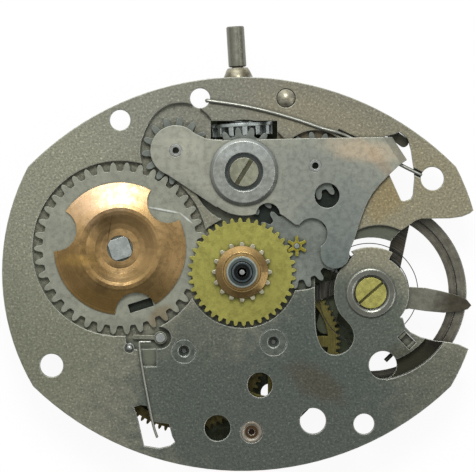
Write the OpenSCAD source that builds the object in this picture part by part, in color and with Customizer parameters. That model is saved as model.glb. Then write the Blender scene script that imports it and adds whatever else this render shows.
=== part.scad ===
// Hand-wound watch movement with a barrel-shaped plate, seen from its dial side.
// Z = 0 is the main plate's dial face, +Z points at the dial, and the hands turn on the Z axis.

/* [Main plate] */
// Radius of the plate's two long curved sides
side_r = 18; // [17.6:0.1:18.6]
// Half of the plate's width across the long sides
plate_half_w = 11.82; // [11.7:0.02:12.1]
// Radius of the plate's two round ends
end_r = 13.56; // [13.4:0.02:13.9]
// Half of the plate's length over the round ends
plate_half_l = 14.4; // [14.3:0.05:14.8]
// Thickness of the main plate
plate_t = 1.0; // [0.9:0.05:1.1]
// Depth of the sinks that hold the winding and motion wheels
sink_d = 0.5; // [0.48:0.01:0.55]
// Clearance between a wheel's tips and the wall of its sink
sink_gap = 0.1; // [0.08:0.01:0.14]
// Radius of the dial-foot holes
foot_hole_r = 0.70; // [0.5:0.05:0.8]
// Distance of a dial-foot hole from the hand axis, along the plate
foot_x = 11.43; // [11.2:0.01:11.6]
// Distance of a dial-foot hole from the hand axis, across the plate
foot_y = 5.61; // [5.4:0.01:5.8]
// Radius of the two case-screw holes
case_hole_r = 0.62; // [0.5:0.02:0.7]
// Distance of a case-screw hole from the hand axis, along the plate
case_x = 7.32; // [7.2:0.01:7.5]
// Distance of a case-screw hole from the hand axis, across the plate
case_y = 9.12; // [9.0:0.01:9.2]

/* [Train bridge] */
// Free height between the main plate and the train bridge
frame_gap = 2.5; // [2.5:0.05:2.7]
// Thickness of the train bridge
bridge_t = 0.7; // [0.6:0.05:0.9]
// Radius of the train bridge
bridge_r = 10.3; // [10.2:0.05:10.5]
// Radius of a pillar
pillar_r = 0.6; // [0.5:0.02:0.62]

/* [Winding] */
// Module of the winding and hand-setting teeth
wind_m = 0.26; // [0.255:0.001:0.262]
// Teeth on the ratchet wheel
ratchet_teeth = 38; // [38:2:38]
// Teeth on the winding wheel under the rocking bar's pivot
winding_teeth = 19; // [19:1:19]
// Teeth on the two small wheels that the rocking bar carries, and on the contrate wheel
small_teeth = 14; // [14:1:14]
// Thickness of the winding wheels
wheel_t = 0.36; // [0.3:0.01:0.38]
// Radius of the dished friction spring on the ratchet wheel
dish_r = 3.96; // [3.7:0.02:4.0]
// Side of the barrel arbor's square
arbor_square = 1.26; // [1.1:0.02:1.3]

/* [Rocking bar] */
// Thickness of the rocking bar
bar_t = 0.3; // [0.25:0.01:0.35]
// Radius of the raised ring round the bar's pivot
ring_r = 2.04; // [1.9:0.02:2.1]
// Height of the raised ring above the bar
ring_h = 0.34; // [0.25:0.01:0.4]
// Radius of the pivot screw's head
bar_head_r = 0.87; // [0.7:0.01:0.95]

/* [Stem] */
// Radius of the stem outside the movement
stem_r = 0.54; // [0.45:0.01:0.58]
// Angle by which the stem leans from the 12 o'clock line
stem_lean = 3.5; // [2.5:0.1:4]
// Distance from the bar's pivot to the stem's outer end
stem_end = 8.81; // [8:0.01:10]
// How far the stem pulls out to set the hands
stem_pull = 0.65; // [0.6:0.01:0.68]

/* [Motion work] */
// Leaves on the cannon pinion
cannon_teeth = 10; // [10:1:10]
// Teeth on the minute wheel
minute_teeth = 18; // [18:1:18]
// Leaves on the minute pinion
minute_leaves = 6; // [6:1:6]
// Teeth on the hour wheel
hour_teeth = 40; // [40:1:40]
// Radius of the hour hand's seat
hour_seat_r = 0.93; // [0.88:0.01:0.96]
// Radius of the minute hand's seat
minute_seat_r = 0.60; // [0.55:0.01:0.64]
// Radius of the seconds hand's seat
seconds_seat_r = 0.15; // [0.12:0.01:0.2]

/* [Balance] */
// Outer radius of the balance rim
rim_r = 5.79; // [5.6:0.01:5.85]
// Width of the balance rim
rim_w = 1.08; // [0.9:0.01:1.2]
// Height of the balance rim
rim_h = 0.35; // [0.3:0.01:0.4]
// Turns of the hairspring
hair_turns = 5; // [4:0.5:5]
// Thickness of the hairspring's strip
hair_t = 0.05; // [0.03:0.01:0.06]
// Radius of the brass endpiece over the balance pivot
endpiece_r = 0.93; // [0.85:0.01:0.95]

/* [Hidden] */
$fn = 64;

// Running clearance of a shaft in its hole, and the air left between flat faces that pass each other
run = 0.04;
air = 0.08;
// Sliver by which a cutting shape passes the face that it opens
over = 0.05;

// Tooth proportions, in modules
addendum = 0.85;
dedendum = 1.12;

// Heights from the dial face down
under = -plate_t;
floor_z = -sink_d;
wind_z = floor_z + 0.06;
wind_top = wind_z + wheel_t;
bar_z = wind_top + 0.1;
bar_top = bar_z + bar_t;
bridge_z = under - frame_gap;
back_z = bridge_z - bridge_t;

// Heights of the wheels between the plates, each measured down from the main plate
drive_z = under - 0.25;
drive_t = 0.18;
lever_z = under - 0.36;
lever_t = 0.28;
index_z = under - 0.28;
index_t = 0.2;
hair_z = under - 0.42;
hair_h = 0.12;
rim_z = under - 0.5 - rim_h;
third_z = under - 1.12;
third_t = 0.15;
roller_z = under - 1.1;
roller_t = 0.13;
cock_z = under - 1.4;
cock_t = 0.2;
pallet_z = under - 1.65;
pallet_t = 0.15;
escape_z = under - 1.9;
escape_t = 0.15;
fourth_z = under - 2.12;
fourth_t = 0.12;
second_z = under - 2.38;
second_t = 0.16;
barrel_top = under - 0.35;
barrel_z = under - 1.9;

// Places of the arbors on the plate
hand_axis = [0, 0];
bar_pivot = [0.12, 6.0];
ratchet_at = [-7.32, 1.41];
balance_at = [7.74, -1.26];
second_at = [-3.48, -4.74];
third_gap = 0.757;
third_at = balance_at + (rim_r + third_gap) * [cos(206.68), sin(206.68)];
lever_axis = [2.64, 10.44];
click_at = [-4.9, -3.95];
click_stud_at = [-6.75, -4.55];
minute_dir = 25.3;
setting_dir = 5;

// Centre distances that the teeth ask for
function mesh_r(n1, n2, m) = (n1 + n2) * m / 2;
arm_r = mesh_r(winding_teeth, small_teeth, wind_m);
minute_at = mesh_r(cannon_teeth, minute_teeth, wind_m) * [cos(minute_dir), sin(minute_dir)];
hour_m = 2 * norm(minute_at) / (hour_teeth + minute_leaves);

// Point at distance ra from a and rb from b, on the left of the way from a to b
function meet(a, b, ra, rb) =
    let (d = norm(b - a), u = (b - a) / d, along = (ra * ra - rb * rb + d * d) / (2 * d))
    a + along * u + sqrt(ra * ra - along * along) * [-u[1], u[0]];
function bearing(a, b) = atan2(b[1] - a[1], b[0] - a[0]);

intermediate_at = meet(ratchet_at, bar_pivot, mesh_r(ratchet_teeth, small_teeth, wind_m), arm_r);
setting_at = bar_pivot + arm_r * [cos(setting_dir), sin(setting_dir)];
setting_mesh_at = meet(minute_at, bar_pivot, mesh_r(minute_teeth, small_teeth, wind_m), arm_r);
mesh_far_at = meet(bar_pivot, minute_at, arm_r, mesh_r(minute_teeth, small_teeth, wind_m));
bar_swing = bearing(bar_pivot, mesh_far_at) - setting_dir;
echo(bar_swing_deg = bar_swing, intermediate_at = intermediate_at, setting_at = setting_at,
    minute_at = minute_at);

// Going train: teeth, leaves, modules and places
barrel_teeth = 72;
second_leaves = 12;
second_teeth = 80;
third_leaves = 8;
third_teeth = 66;
fourth_leaves = 11;
fourth_teeth = 60;
escape_leaves = 6;
escape_teeth = 15;
drive_teeth = 49;
barrel_m = 2 * norm(second_at - ratchet_at) / (barrel_teeth + second_leaves);
second_m = 2 * norm(third_at - second_at) / (second_teeth + third_leaves);
third_m = 2 * norm(third_at) / (third_teeth + fourth_leaves);
fourth_m = 0.108;
drive_m = norm(second_at) / drive_teeth;
escape_at = [mesh_r(fourth_teeth, escape_leaves, fourth_m), 0];
escape_r = 2.0;
pallet_reach = 2.05;
beat_dir = bearing(balance_at, escape_at);
pallet_at = balance_at + pallet_reach * [cos(beat_dir), sin(beat_dir)];

// Phase of a wheel of n2 teeth at b that meshes with one of n1 teeth at a whose phase is ph1
function mesh_phase(a, b, n1, ph1, n2) =
    let (u = (bearing(a, b) - ph1) * n1 / 360) bearing(a, b) + 180 - (0.5 - u) * 360 / n2;

ratchet_phase = 0;
intermediate_phase = mesh_phase(ratchet_at, intermediate_at, ratchet_teeth, ratchet_phase, small_teeth);
winding_phase = mesh_phase(intermediate_at, bar_pivot, small_teeth, intermediate_phase, winding_teeth);
setting_phase = mesh_phase(bar_pivot, setting_at, winding_teeth, winding_phase, small_teeth);
stud_turn = bar_swing * winding_teeth / small_teeth;
minute_phase = mesh_phase(mesh_far_at, minute_at, small_teeth, setting_phase + bar_swing + stud_turn,
    minute_teeth);
cannon_phase = mesh_phase(minute_at, hand_axis, minute_teeth, minute_phase, cannon_teeth);
hour_phase = 2;
minute_leaf_phase = mesh_phase(hand_axis, minute_at, hour_teeth, hour_phase, minute_leaves);
stem_dir = 90 + stem_lean;
contrate_lag = (winding_phase - stem_dir) * winding_teeth / 360 + 0.5;
contrate_phase = -90 - contrate_lag * 360 / small_teeth;
second_phase = mesh_phase(ratchet_at, second_at, barrel_teeth, 0, second_leaves);
third_phase = mesh_phase(second_at, third_at, second_teeth, 0, third_leaves);
fourth_phase = mesh_phase(third_at, hand_axis, third_teeth, 0, fourth_leaves);
escape_phase = mesh_phase(hand_axis, escape_at, fourth_teeth, 0, escape_leaves);
drive_phase = mesh_phase(second_at, hand_axis, drive_teeth, 0, drive_teeth);

// Outline of a toothed wheel; thick is the tooth's share of the pitch, tip and root its shares there
function polar(r, a) = r * [cos(a), sin(a)];
function wheel_points(n, m, phase, thick, tip, root, add) =
    let (pitch = 360 / n, rp = n * m / 2, ra = rp + add * m, rd = rp - dedendum * m)
    [for (i = [0:n - 1]) let (a = phase + i * pitch) each [
        polar(rd, a - pitch * root / 2),
        polar(rp, a - pitch * thick / 2),
        polar(ra, a - pitch * tip / 2),
        polar(ra, a + pitch * tip / 2),
        polar(rp, a + pitch * thick / 2),
        polar(rd, a + pitch * root / 2)]];
// Rounded teeth of the winding work, narrowing to the tip and filleted at the root
function round_points(n, m, phase) =
    let (pitch = 360 / n, rp = n * m / 2, ra = rp + addendum * m, rd = rp - dedendum * m)
    [for (i = [0:n - 1]) let (a = phase + i * pitch, half = [[rd, 0.37], [rd + 0.1 * m, 0.3],
        [rd + 0.45 * m, 0.25], [rp, 0.215], [rp + 0.42 * m, 0.165], [rp + 0.7 * m, 0.105],
        [ra, 0.045]]) each concat([for (h = half) polar(h[0], a - pitch * h[1])],
        [for (k = [6:-1:0]) polar(half[k][0], a + pitch * half[k][1])])];
function tip_r(n, m, add = addendum) = n * m / 2 + add * m;
function root_r(n, m) = n * m / 2 - dedendum * m;

module wheel_2d(n, m, phase, thick = 0.44, tip = 0.16, root = 0.6, add = addendum)
    polygon(wheel_points(n, m, phase, thick, tip, root, add));

module at(p, z = 0) translate([p[0], p[1], z]) children();

module disc(r, h) cylinder(r = r, h = h);

// Wheel of the winding work, with its bore
module winding_blank(n, phase, bore) difference() {
    linear_extrude(wheel_t) polygon(round_points(n, wind_m, phase));
    translate([0, 0, -over]) disc(bore, wheel_t + 2 * over);
}

// Brass train wheel: rim with teeth, hub and spokes between straight-sided openings
module train_wheel(n, m, t, phase, hub, bore, rim_w = 0.5, spokes = 4) difference() {
    linear_extrude(t) difference() {
        wheel_2d(n, m, phase);
        difference() {
            circle(root_r(n, m) - rim_w);
            circle(hub);
            for (i = [0:spokes - 1]) rotate(i * 360 / spokes)
                translate([0, -hub / 3]) square([root_r(n, m), hub / 1.5]);
        }
    }
    translate([0, 0, -over]) disc(bore, t + 2 * over);
}

// Arbor with a pinion: leaves between z0 and z1, shaft from end to end, thin pivots at both ends
module arbor(n, m, phase, z0, z1, bottom, top, shaft, pivot) {
    translate([0, 0, z0]) linear_extrude(z1 - z0) wheel_2d(n, m, phase, 0.38, 0.14, 0.5);
    translate([0, 0, bottom + air]) disc(shaft, top - bottom - 2 * air);
    translate([0, 0, bottom - 0.3]) disc(pivot, top - bottom + 0.6);
}

// Screw with its head's outer face at z = 0 and its shank going down
module slotted_screw(head_r, head_h, shank_r, length, slot_w, slot_d, turn = 0) difference() {
    union() {
        translate([0, 0, -head_h]) disc(head_r, head_h);
        translate([0, 0, -length]) disc(shank_r, length - head_h + over);
    }
    rotate(turn) translate([-head_r - over, -slot_w / 2, -slot_d]) cube([2 * head_r + 2 * over, slot_w,
        slot_d + over]);
}

// Ring sector between two radii and two bearings
module sector_2d(r0, r1, a0, a1) intersection() {
    difference() {
        circle(r1);
        circle(r0);
    }
    far = 3 * r1;
    mid = (a0 + a1) / 2;
    polygon([[0, 0], polar(far, a0), polar(far, mid), polar(far, a1)]);
}

module slot_2d(a, b, w) {
    turn = bearing(a, b);
    translate(a) rotate(turn) translate([0, -w / 2]) square([norm(b - a), w]);
    translate(a) circle(w / 2);
    translate(b) circle(w / 2);
}

// Main plate

plate_shift = -0.12;
boss_r = 2.28;
gap_in_r = 2.76;
gap_out_r = 3.33;
ratchet_tip = tip_r(ratchet_teeth, wind_m);
winding_tip = tip_r(winding_teeth, wind_m);
small_tip = tip_r(small_teeth, wind_m);
minute_tip = tip_r(minute_teeth, wind_m);
contrate_r = small_teeth * wind_m / 2 + 0.1;
contrate_back = 2.95;
contrate_front = 2.2;
hour_add = 0.6;
hour_tip = tip_r(hour_teeth, hour_m, hour_add);
spring_hole = [-2.52, 10.44];
spring_hole_r = 0.6;
window_w = 4.0;
window_h = 1.1;
window_y = 8.52;
arbor_r = 1.15;
second_bush_r = 0.72;
third_bush_r = 0.81;
bush_hole_r = 0.93;
axle_r = 0.54;
pillar_sites = [[0.57, -9.6], [5.4, -7.6], [4.0, 7.6], [-3.3, 9.3]];
open_pillar_r = 0.64;
click_pin_r = 0.3;
stud_slot_at = [9.9, -4.08];

module plate_outline_2d() translate([0, plate_shift]) intersection() {
    translate([0, plate_half_w - side_r]) circle(side_r, $fn = 180);
    translate([0, side_r - plate_half_w]) circle(side_r, $fn = 180);
    union() for (s = [-1, 1])
        translate([s * (plate_half_l - end_r), -plate_shift]) circle(end_r, $fn = 180);
}

// Open bay in the right-hand end, where the balance rim shows
module balance_bay_2d() polygon([[14.6, 3.9], [13.95, 3.75], [13.68, 3.52], [13.2, 3.32], [12.5, 3.22],
    [10.75, 3.2], [10.4, 3.08], [10.15, 2.9], [9.55, 2.5], [9.05, 2.0], [8.86, 1.6], [8.8, 1.2],
    [8.3, 0.4], [8.3, -2.6], [9.65, -2.75], [9.8, -3.3], [10.1, -3.6], [10.7, -3.9], [11.45, -4.1],
    [12.5, -4.22], [13.1, -4.38], [13.6, -4.62], [14.6, -5.1]]);

module hook_slot_2d() polygon([[4.4, 0.1], [4.36, -1.08], [4.4, -3.18], [4.48, -3.75], [4.62, -4.2],
    [4.78, -4.52], [4.98, -4.76], [5.26, -4.93], [5.58, -4.98], [5.9, -4.93], [6.18, -4.8],
    [6.42, -4.62], [6.6, -4.36], [6.7, -4.08], [6.72, -3.78], [6.64, -3.46], [6.48, -3.18],
    [6.2, -2.86], [5.94, -2.58], [5.76, -2.3], [5.64, -1.98], [5.54, -1.54], [5.52, -1.08],
    [5.57, -0.62], [5.7, -0.18], [5.9, 0.14], [6.18, 0.42], [6.72, 1.02], [6.5, 1.3], [5.3, 0.9]]);

module tab_hole_2d() polygon([[8.6, 8.15], [9.06, 8.25], [9.48, 8.4], [9.96, 7.98], [10.14, 7.32],
    [10.32, 6.12], [10.35, 5.64], [10.26, 4.62], [10.14, 4.4], [9.72, 4.26], [9.54, 4.3], [8.88, 5.76],
    [8.4, 7.0]]);

module click_hole_2d() polygon([[-6.48, -8.1], [-6.1, -7.98], [-5.7, -8.04], [-5.28, -9.0],
    [-4.38, -9.12], [-4.2, -9.84], [-4.02, -10.2], [-4.32, -10.44], [-4.98, -10.59], [-5.88, -10.44],
    [-6.24, -8.88]]);

module plate_through_2d() {
    for (s = [-1, 1]) {
        translate([s * foot_x, s * foot_y]) circle(foot_hole_r);
        translate([-s * case_x, s * case_y]) circle(case_hole_r);
    }
    translate(spring_hole) circle(spring_hole_r);
    translate([8.46, -5.58]) circle(0.84);
    translate([4.26, -8.94]) circle(0.78);
    translate([1.08, -6.78]) circle(0.75);
    translate([-1.47, -9.36]) circle(0.78);
    translate(pillar_sites[0]) circle(open_pillar_r + 0.02);
    translate(second_at) circle(second_bush_r);
    translate(third_at) circle(third_bush_r);
    translate(lever_axis) circle(axle_r + run);
    translate(ratchet_at) circle(arbor_r + run);
    translate(balance_at) circle(bush_hole_r + 0.35);
    translate([bar_pivot[0] - window_w / 2, window_y - window_h / 2]) square([window_w, window_h]);
    circle(minute_seat_r + 0.22);
    translate(stud_slot_at) rotate(-45) square([1.0, 0.6], center = true);
    tab_hole_2d();
    click_hole_2d();
    hook_slot_2d();
}

// Sinks cut into the dial face for the wheels of the winding and motion work
module wheel_sinks_2d() {
    translate(ratchet_at) circle(ratchet_tip + sink_gap);
    translate(bar_pivot) circle(winding_tip + 0.45);
    translate(minute_at) circle(minute_tip + sink_gap);
    circle(hour_tip + sink_gap);
    for (swing = [0, bar_swing / 2, bar_swing]) translate(bar_pivot) rotate(swing)
        translate(-bar_pivot) {
            translate(intermediate_at) circle(small_tip + sink_gap);
            translate(setting_at) circle(small_tip + sink_gap);
        }
}

module main_plate() color([0.47, 0.46, 0.41]) difference() {
    union() {
        translate([0, 0, under]) linear_extrude(plate_t) difference() {
            union() {
                difference() {
                    plate_outline_2d();
                    balance_bay_2d();
                }
                translate(balance_at) circle(boss_r);
                translate(balance_at) sector_2d(1, gap_in_r + 0.2, 62, 125);
            }
            translate(balance_at) sector_2d(gap_in_r, gap_out_r, 50, 118);
            plate_through_2d();
        }
        stem_saddle();
    }
    translate([0, 0, floor_z]) linear_extrude(sink_d + over) wheel_sinks_2d();
    // Pocket beside the balance boss, with a ledge lower than the dial face
    translate([0, 0, -0.35]) linear_extrude(0.4) difference() {
        translate([8.22, 0]) circle(2.82);
        translate(balance_at) circle(gap_in_r + 0.1);
        translate([5, -4]) square([8, 4.6]);
    }
    // Blind arc that clears the index below the lower horn
    at(balance_at, -0.62) linear_extrude(0.7) sector_2d(4.26, 5.28, -80, -27);
    // Groove in which the wire spring passes under the bar
    translate([0, 0, -0.32]) linear_extrude(0.4)
        strip_2d([[5.72, 8.42], [5.9, 8.34], [7.6, 7.55], [9.5, 6.45], [10.9, 5.75]], 0.38);
    // Blind pits round the click
    at([-5.6, -4.9], floor_z + 0.1) linear_extrude(1) square([0.95, 1.55], center = true);
    at([0, 0], floor_z) linear_extrude(1) slot_2d([-6.35, -4.0], click_at, 1.3);
    // Blind holes for the pillars' tenons, tapped hole for the bar's screw, bore for the minute stud
    for (i = [1:3]) at(pillar_sites[i], under - over) disc(0.35, 0.3 + over);
    at(bar_pivot, under - over) disc(0.42, plate_t);
    at(minute_at, under - over) disc(0.25, plate_t);
    at(click_stud_at, under - over) disc(click_pin_r, plate_t + 1);
    at(click_at, under - over) disc(click_pin_r - 0.05, plate_t + 1);
}

// Lug under the plate that carries the stem's inner pivot
stem_z = wind_top - contrate_r + 0.05;
saddle_near = 1.25;
saddle_far = 1.8;
stem_pivot_r = 0.28;
module on_stem(d) translate([bar_pivot[0], bar_pivot[1], stem_z]) rotate([0, 0, stem_lean])
    rotate([-90, 0, 0]) translate([0, 0, d]) children();
module stem_saddle() difference() {
    translate([bar_pivot[0], bar_pivot[1], 0]) rotate(stem_lean)
        translate([-0.6, saddle_near, stem_z - 0.6])
        cube([1.2, saddle_far - saddle_near, under - stem_z + 0.65]);
    on_stem(saddle_near - over) disc(stem_pivot_r + run, saddle_far - saddle_near + 2 * over);
}

// Back of the frame

bridge_centre = [0, -0.12];
cock_arm_r = 2.1;
screw_head_r = 0.62;
screw_head_h = 0.28;
cock_feet = [[4.4, 2.9], [5.05, -3.2]];
lower_end_r = 0.8;

module bridge_outline_2d() {
    difference() {
        translate(bridge_centre) circle(bridge_r, $fn = 120);
        polygon([[6.5, 12], [6.45, 1.1], [6.9, 0.6], [7.0, -4.2], [6.2, -6.4], [6.2, -12], [14, -12],
            [14, 12]]);
        translate([4.5, -9.2]) rotate(-45) square([1.9, 3.6], center = true);
    }
    translate(balance_at) circle(cock_arm_r);
    translate([5.5, balance_at[1] - 1.9]) square([2.2, 3.6]);
}

module train_bridge() color([0.66, 0.56, 0.28]) difference() {
    translate([0, 0, back_z]) linear_extrude(bridge_t) difference() {
        bridge_outline_2d();
        translate([5.01, -3.18]) circle(0.51);
        translate([1.68, -7.32]) circle(0.54);
        translate(balance_at) circle(lower_end_r);
        translate(ratchet_at) circle(0.6 + run);
        for (p = [second_at, third_at, hand_axis, escape_at, pallet_at]) translate(p) circle(0.14 + run);
        for (p = pillar_sites) translate(p) circle(0.3);
        for (p = cock_feet) translate(p) circle(0.3);
    }
    for (p = concat(pillar_sites, cock_feet)) at(p, back_z - over) disc(screw_head_r + 0.05,
        screw_head_h + 0.04 + over);
    // Pocket into which the contrate wheel dips
    translate([bar_pivot[0] - 1.6, 7.95, stem_z - contrate_r - 0.08]) cube([3, 1.25, 1]);
}

module pillars() color([0.72, 0.62, 0.35]) for (i = [0:3]) at(pillar_sites[i]) difference() {
    union() {
        translate([0, 0, bridge_z]) disc(pillar_r, frame_gap);
        if (i == 0) translate([0, 0, under]) disc(open_pillar_r, plate_t - 0.06);
        else translate([0, 0, under - over]) disc(0.34, 0.3);
    }
    if (i == 0) {
        translate([0, 0, -0.2]) disc(0.48, 0.3);
        translate([0, 0, -1.0]) disc(0.18, 1.2);
    }
    translate([0, 0, bridge_z - over]) disc(0.27, 1.2);
}

module bridge_screws() color([0.72, 0.73, 0.74]) for (p = concat(pillar_sites, cock_feet))
    translate([p[0], p[1], back_z + 0.02]) rotate([180, 0, 30])
        slotted_screw(screw_head_r, screw_head_h, 0.26, bridge_t + 0.7, 0.16, 0.12);

module train_bushings() color([0.55, 0.54, 0.48]) {
    at(second_at, under) train_bush(second_bush_r);
    at(third_at, under) train_bush(third_bush_r);
}
module train_bush(r) difference() {
    disc(r - 0.01, plate_t - 0.02);
    translate([0, 0, plate_t - 0.2]) cylinder(r1 = 0.16, r2 = 0.42, h = 0.24);
    translate([0, 0, -over]) disc(0.14 + run, plate_t + 2 * over);
}

// Escapement bridge: a small cock under the balance for the escape and pallet arbors
module escapement_bridge() color([0.70, 0.61, 0.33]) difference() {
    union() {
        translate([0, 0, cock_z]) linear_extrude(cock_t) {
            slot_2d(cock_feet[0], escape_at, 1.3);
            slot_2d(escape_at, pallet_at, 1.1);
            slot_2d(pallet_at, cock_feet[1], 1.1);
        }
        for (p = cock_feet) at(p, bridge_z) disc(0.55, cock_z - bridge_z + over);
    }
    for (p = [escape_at, pallet_at]) at(p, cock_z - over) disc(0.14 + run, cock_t + 2 * over);
    for (p = cock_feet) at(p, bridge_z - over) disc(0.27, 0.8);
}

// Balance

module balance_bush() color([0.62, 0.64, 0.66]) at(balance_at) difference() {
    union() {
        translate([0, 0, 0]) rotate_extrude() polygon([[endpiece_r + 0.04, 0.0], [1.5, 0.0], [1.5, 0.07],
            [1.42, 0.12], [1.12, 0.12], [endpiece_r + 0.04, 0.02]]);
        translate([0, 0, under - 0.3]) disc(bush_hole_r + 0.33, plate_t + 0.3);
    }
    translate([0, 0, under - 0.3 - over]) disc(endpiece_r + 0.02, plate_t + 0.6);
}

module balance_endpieces() color([0.74, 0.66, 0.30]) {
    at(balance_at) difference() {
        translate([0, 0, 0.1]) slotted_screw(endpiece_r, 1.2, endpiece_r, 1.25, 0.17, 0.3, 41);
        translate([0, 0, -1.3]) disc(0.07 + run, 0.5);
    }
    at(balance_at, back_z + 0.02) difference() {
        rotate([180, 0, 20]) slotted_screw(lower_end_r - 0.01, 0.65, lower_end_r - 0.01, 0.68, 0.16,
            0.2);
        translate([0, 0, 0.4]) disc(0.07 + run, 0.4);
    }
}

arm_offset = 1.0;
arm_w = 0.9;
hub_r = 1.35;
staff_r = 0.3;
module balance_wheel() color([0.50, 0.46, 0.40]) at(balance_at) difference() {
    union() {
        translate([0, 0, rim_z]) rotate_extrude($fn = 120) polygon([[rim_r - rim_w, 0],
            [rim_r, 0], [rim_r, rim_h - 0.04], [rim_r - 0.04, rim_h], [rim_r - 0.56, rim_h],
            [rim_r - 0.57, rim_h - 0.12], [rim_r - 0.62, rim_h - 0.12], [rim_r - 0.63, rim_h - 0.05],
            [rim_r - rim_w, rim_h - 0.05]]);
        translate([0, 0, rim_z + 0.05]) linear_extrude(0.2) intersection() {
            union() {
                circle(hub_r);
                for (i = [0:2]) rotate(78 + 120 * i) translate([0, -arm_offset - arm_w / 2])
                    square([rim_r - 0.4, arm_w]);
            }
            circle(rim_r - 0.4);
        }
    }
    translate([0, 0, rim_z - over]) disc(staff_r + 0.1, rim_h + 2 * over);
}

module balance_staff() color([0.75, 0.76, 0.78]) at(balance_at) {
    translate([0, 0, rim_z - 0.08]) disc(staff_r + 0.09, 0.38);
    translate([0, 0, roller_z - 0.02]) disc(staff_r, under - 0.18 - roller_z);
    translate([0, 0, bridge_z + 0.15]) disc(0.2, roller_z - bridge_z - 0.1);
    translate([0, 0, bridge_z - 0.2]) disc(0.07, frame_gap + 0.3);
}

pin_orbit = 0.5;
module impulse_roller() color([0.75, 0.76, 0.78]) at(balance_at) {
    translate([0, 0, roller_z]) difference() {
        disc(0.78, roller_t);
        translate([0, 0, -over]) disc(staff_r + 0.01, roller_t + 2 * over);
    }
    rotate(beat_dir) translate([pin_orbit, 0, pallet_z - 0.02]) disc(0.09, roller_z - pallet_z + 0.04);
}

// Hairspring: one flat spiral strip from the collet to the stud
hair_in = 0.62;
hair_out = norm(stud_slot_at - balance_at) - 0.25;
hair_end = bearing(balance_at, stud_slot_at);
hair_pitch = (hair_out - hair_in) / hair_turns;
function hair_r(t) = hair_in + hair_pitch * t;
function hair_edge(side) = [for (i = [0:24 * hair_turns]) let (t = i / 24)
    polar(hair_r(t) + side * hair_t / 2, hair_end + 360 * (t - hair_turns))];
hair_gap = min([for (i = [0:24 * (hair_turns - 1)])
    norm(hair_edge(-1)[i + 24]) - norm(hair_edge(1)[i])]);
echo(hairspring_least_gap_mm = hair_gap);
module hairspring() color([0.45, 0.50, 0.62]) at(balance_at) {
    inner = hair_edge(-1);
    outer = hair_edge(1);
    translate([0, 0, hair_z]) linear_extrude(hair_h)
        polygon(concat(outer, [for (i = [len(inner) - 1:-1:0]) inner[i]]));
    translate([0, 0, hair_z - 0.02]) difference() {
        disc(hair_in - hair_t / 2 + 0.02, hair_h + 0.04);
        translate([0, 0, -over]) disc(staff_r + 0.01, hair_h + 0.2);
    }
}

module hairspring_stud() color([0.70, 0.71, 0.72]) at(stud_slot_at) rotate(-45) difference() {
    translate([-0.48, -0.28, hair_z - 0.05]) cube([0.96, 0.56, 0.78 - hair_z]);
    translate([-0.33, -0.5, hair_z - 0.2]) cube([0.16, 1, 0.36]);
    translate([-0.3, -0.4, -0.75]) cube([0.6, 0.8, 2]);
    translate([-0.6, -0.4, -0.14]) cube([1.2, 0.8, 2]);
    translate([0, 0.5, tail_z]) rotate([90, 0, 0]) disc(0.14, 1);
}

// Taper pin's long tail, which shows in the plate's round hole
tail_z = hair_z + 0.08;
module hairspring_pin() color([0.3, 0.3, 0.3]) at(stud_slot_at, tail_z) rotate(-45)
    translate([0, 0.2, 0]) rotate([90, 0, 0]) disc(0.13, 2.0);

// Regulator index: a split ring round the bush, with a long tongue under the open bay
index_reach = 6.06;
module regulator_index() color([0.42, 0.39, 0.35]) at(balance_at, index_z) difference() {
    union() {
        disc(2.1, index_t);
        translate([0, 0, 0.01]) linear_extrude(index_t - 0.02) polygon([[0.5, 1.0], [2.3, 0.36],
            [3.3, 0.3], [4.2, 0.12], [4.9, -0.06], [5.4, -0.2], [5.8, -0.42], [index_reach, -0.75],
            [5.85, -0.98], [5.45, -1.1], [4.4, -1.2], [3.3, -1.1], [2.3, -0.95], [0.5, -1.4]]);
    }
    translate([0, 0, -over]) disc(bush_hole_r + 0.33 + run, index_t + 2 * over);
}

// Rocking bar and the wheels that it carries

tab_dir = bearing([9.0, 8.1], [9.9, 6.72]);
tab_mid = ([9.0, 8.1] + [9.9, 6.72]) / 2;
tab_t = 0.3;
tenon_r = 0.38;
peep_hole = [5.1, 4.59];
ring_bore = 1.16;
bar_neck_r = 0.6;
hub_neck_r = 0.95;

module bar_2d() difference() {
    union() {
        translate(intermediate_at) circle(1.52);
        translate(bar_pivot) circle(2.62);
        translate([5.58, 1.08]) circle(0.87);
        polygon([[-3.36, 8.66], [-2.76, 8.28], [-2.16, 8.0], [-1.2, 7.88], [3.48, 8.01], [9.0, 8.1],
            [9.9, 6.72], [9.42, 6.39], [8.88, 5.88], [8.28, 5.28], [7.8, 4.68], [7.44, 4.02],
            [7.14, 3.24], [6.72, 1.92], [6.4, 1.1], [4.73, 1.1], [4.71, 1.62], [5.0, 2.6],
            [3.18, 2.85], [2.52, 3.36], [0.9, 4.2], [-1.56, 3.9], [-3.12, 4.95], [-4.84, 6.08]]);
    }
    translate([4.2, 2.3]) circle(0.93);
    translate([1.56, 3.42]) circle(0.72);
}

module rocking_bar() color([0.52, 0.53, 0.52]) difference() {
    union() {
        translate([0, 0, bar_z]) linear_extrude(bar_t) bar_2d();
        // Tab bent down through the plate, where the setting lever pushes it
        at(tab_mid, lever_z - 0.03) rotate(tab_dir) translate([0, -tab_t, 0])
            cube([0.72, tab_t, bar_top - 0.1 - lever_z]);
    }
    // Slope along the fold of the tab
    at(tab_mid, bar_top) rotate(tab_dir) translate([-3, -0.46, 0]) rotate([-24, 0, 0]) cube([6, 2, 1]);
    at(bar_pivot, bar_z - over) disc(ring_bore + 0.3, 1);
    at(intermediate_at, bar_z - over) disc(tenon_r, 1);
    at(setting_at, bar_z - over) disc(tenon_r, 1);
    at(peep_hole, bar_z - over) disc(0.75, 1);
}

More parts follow.
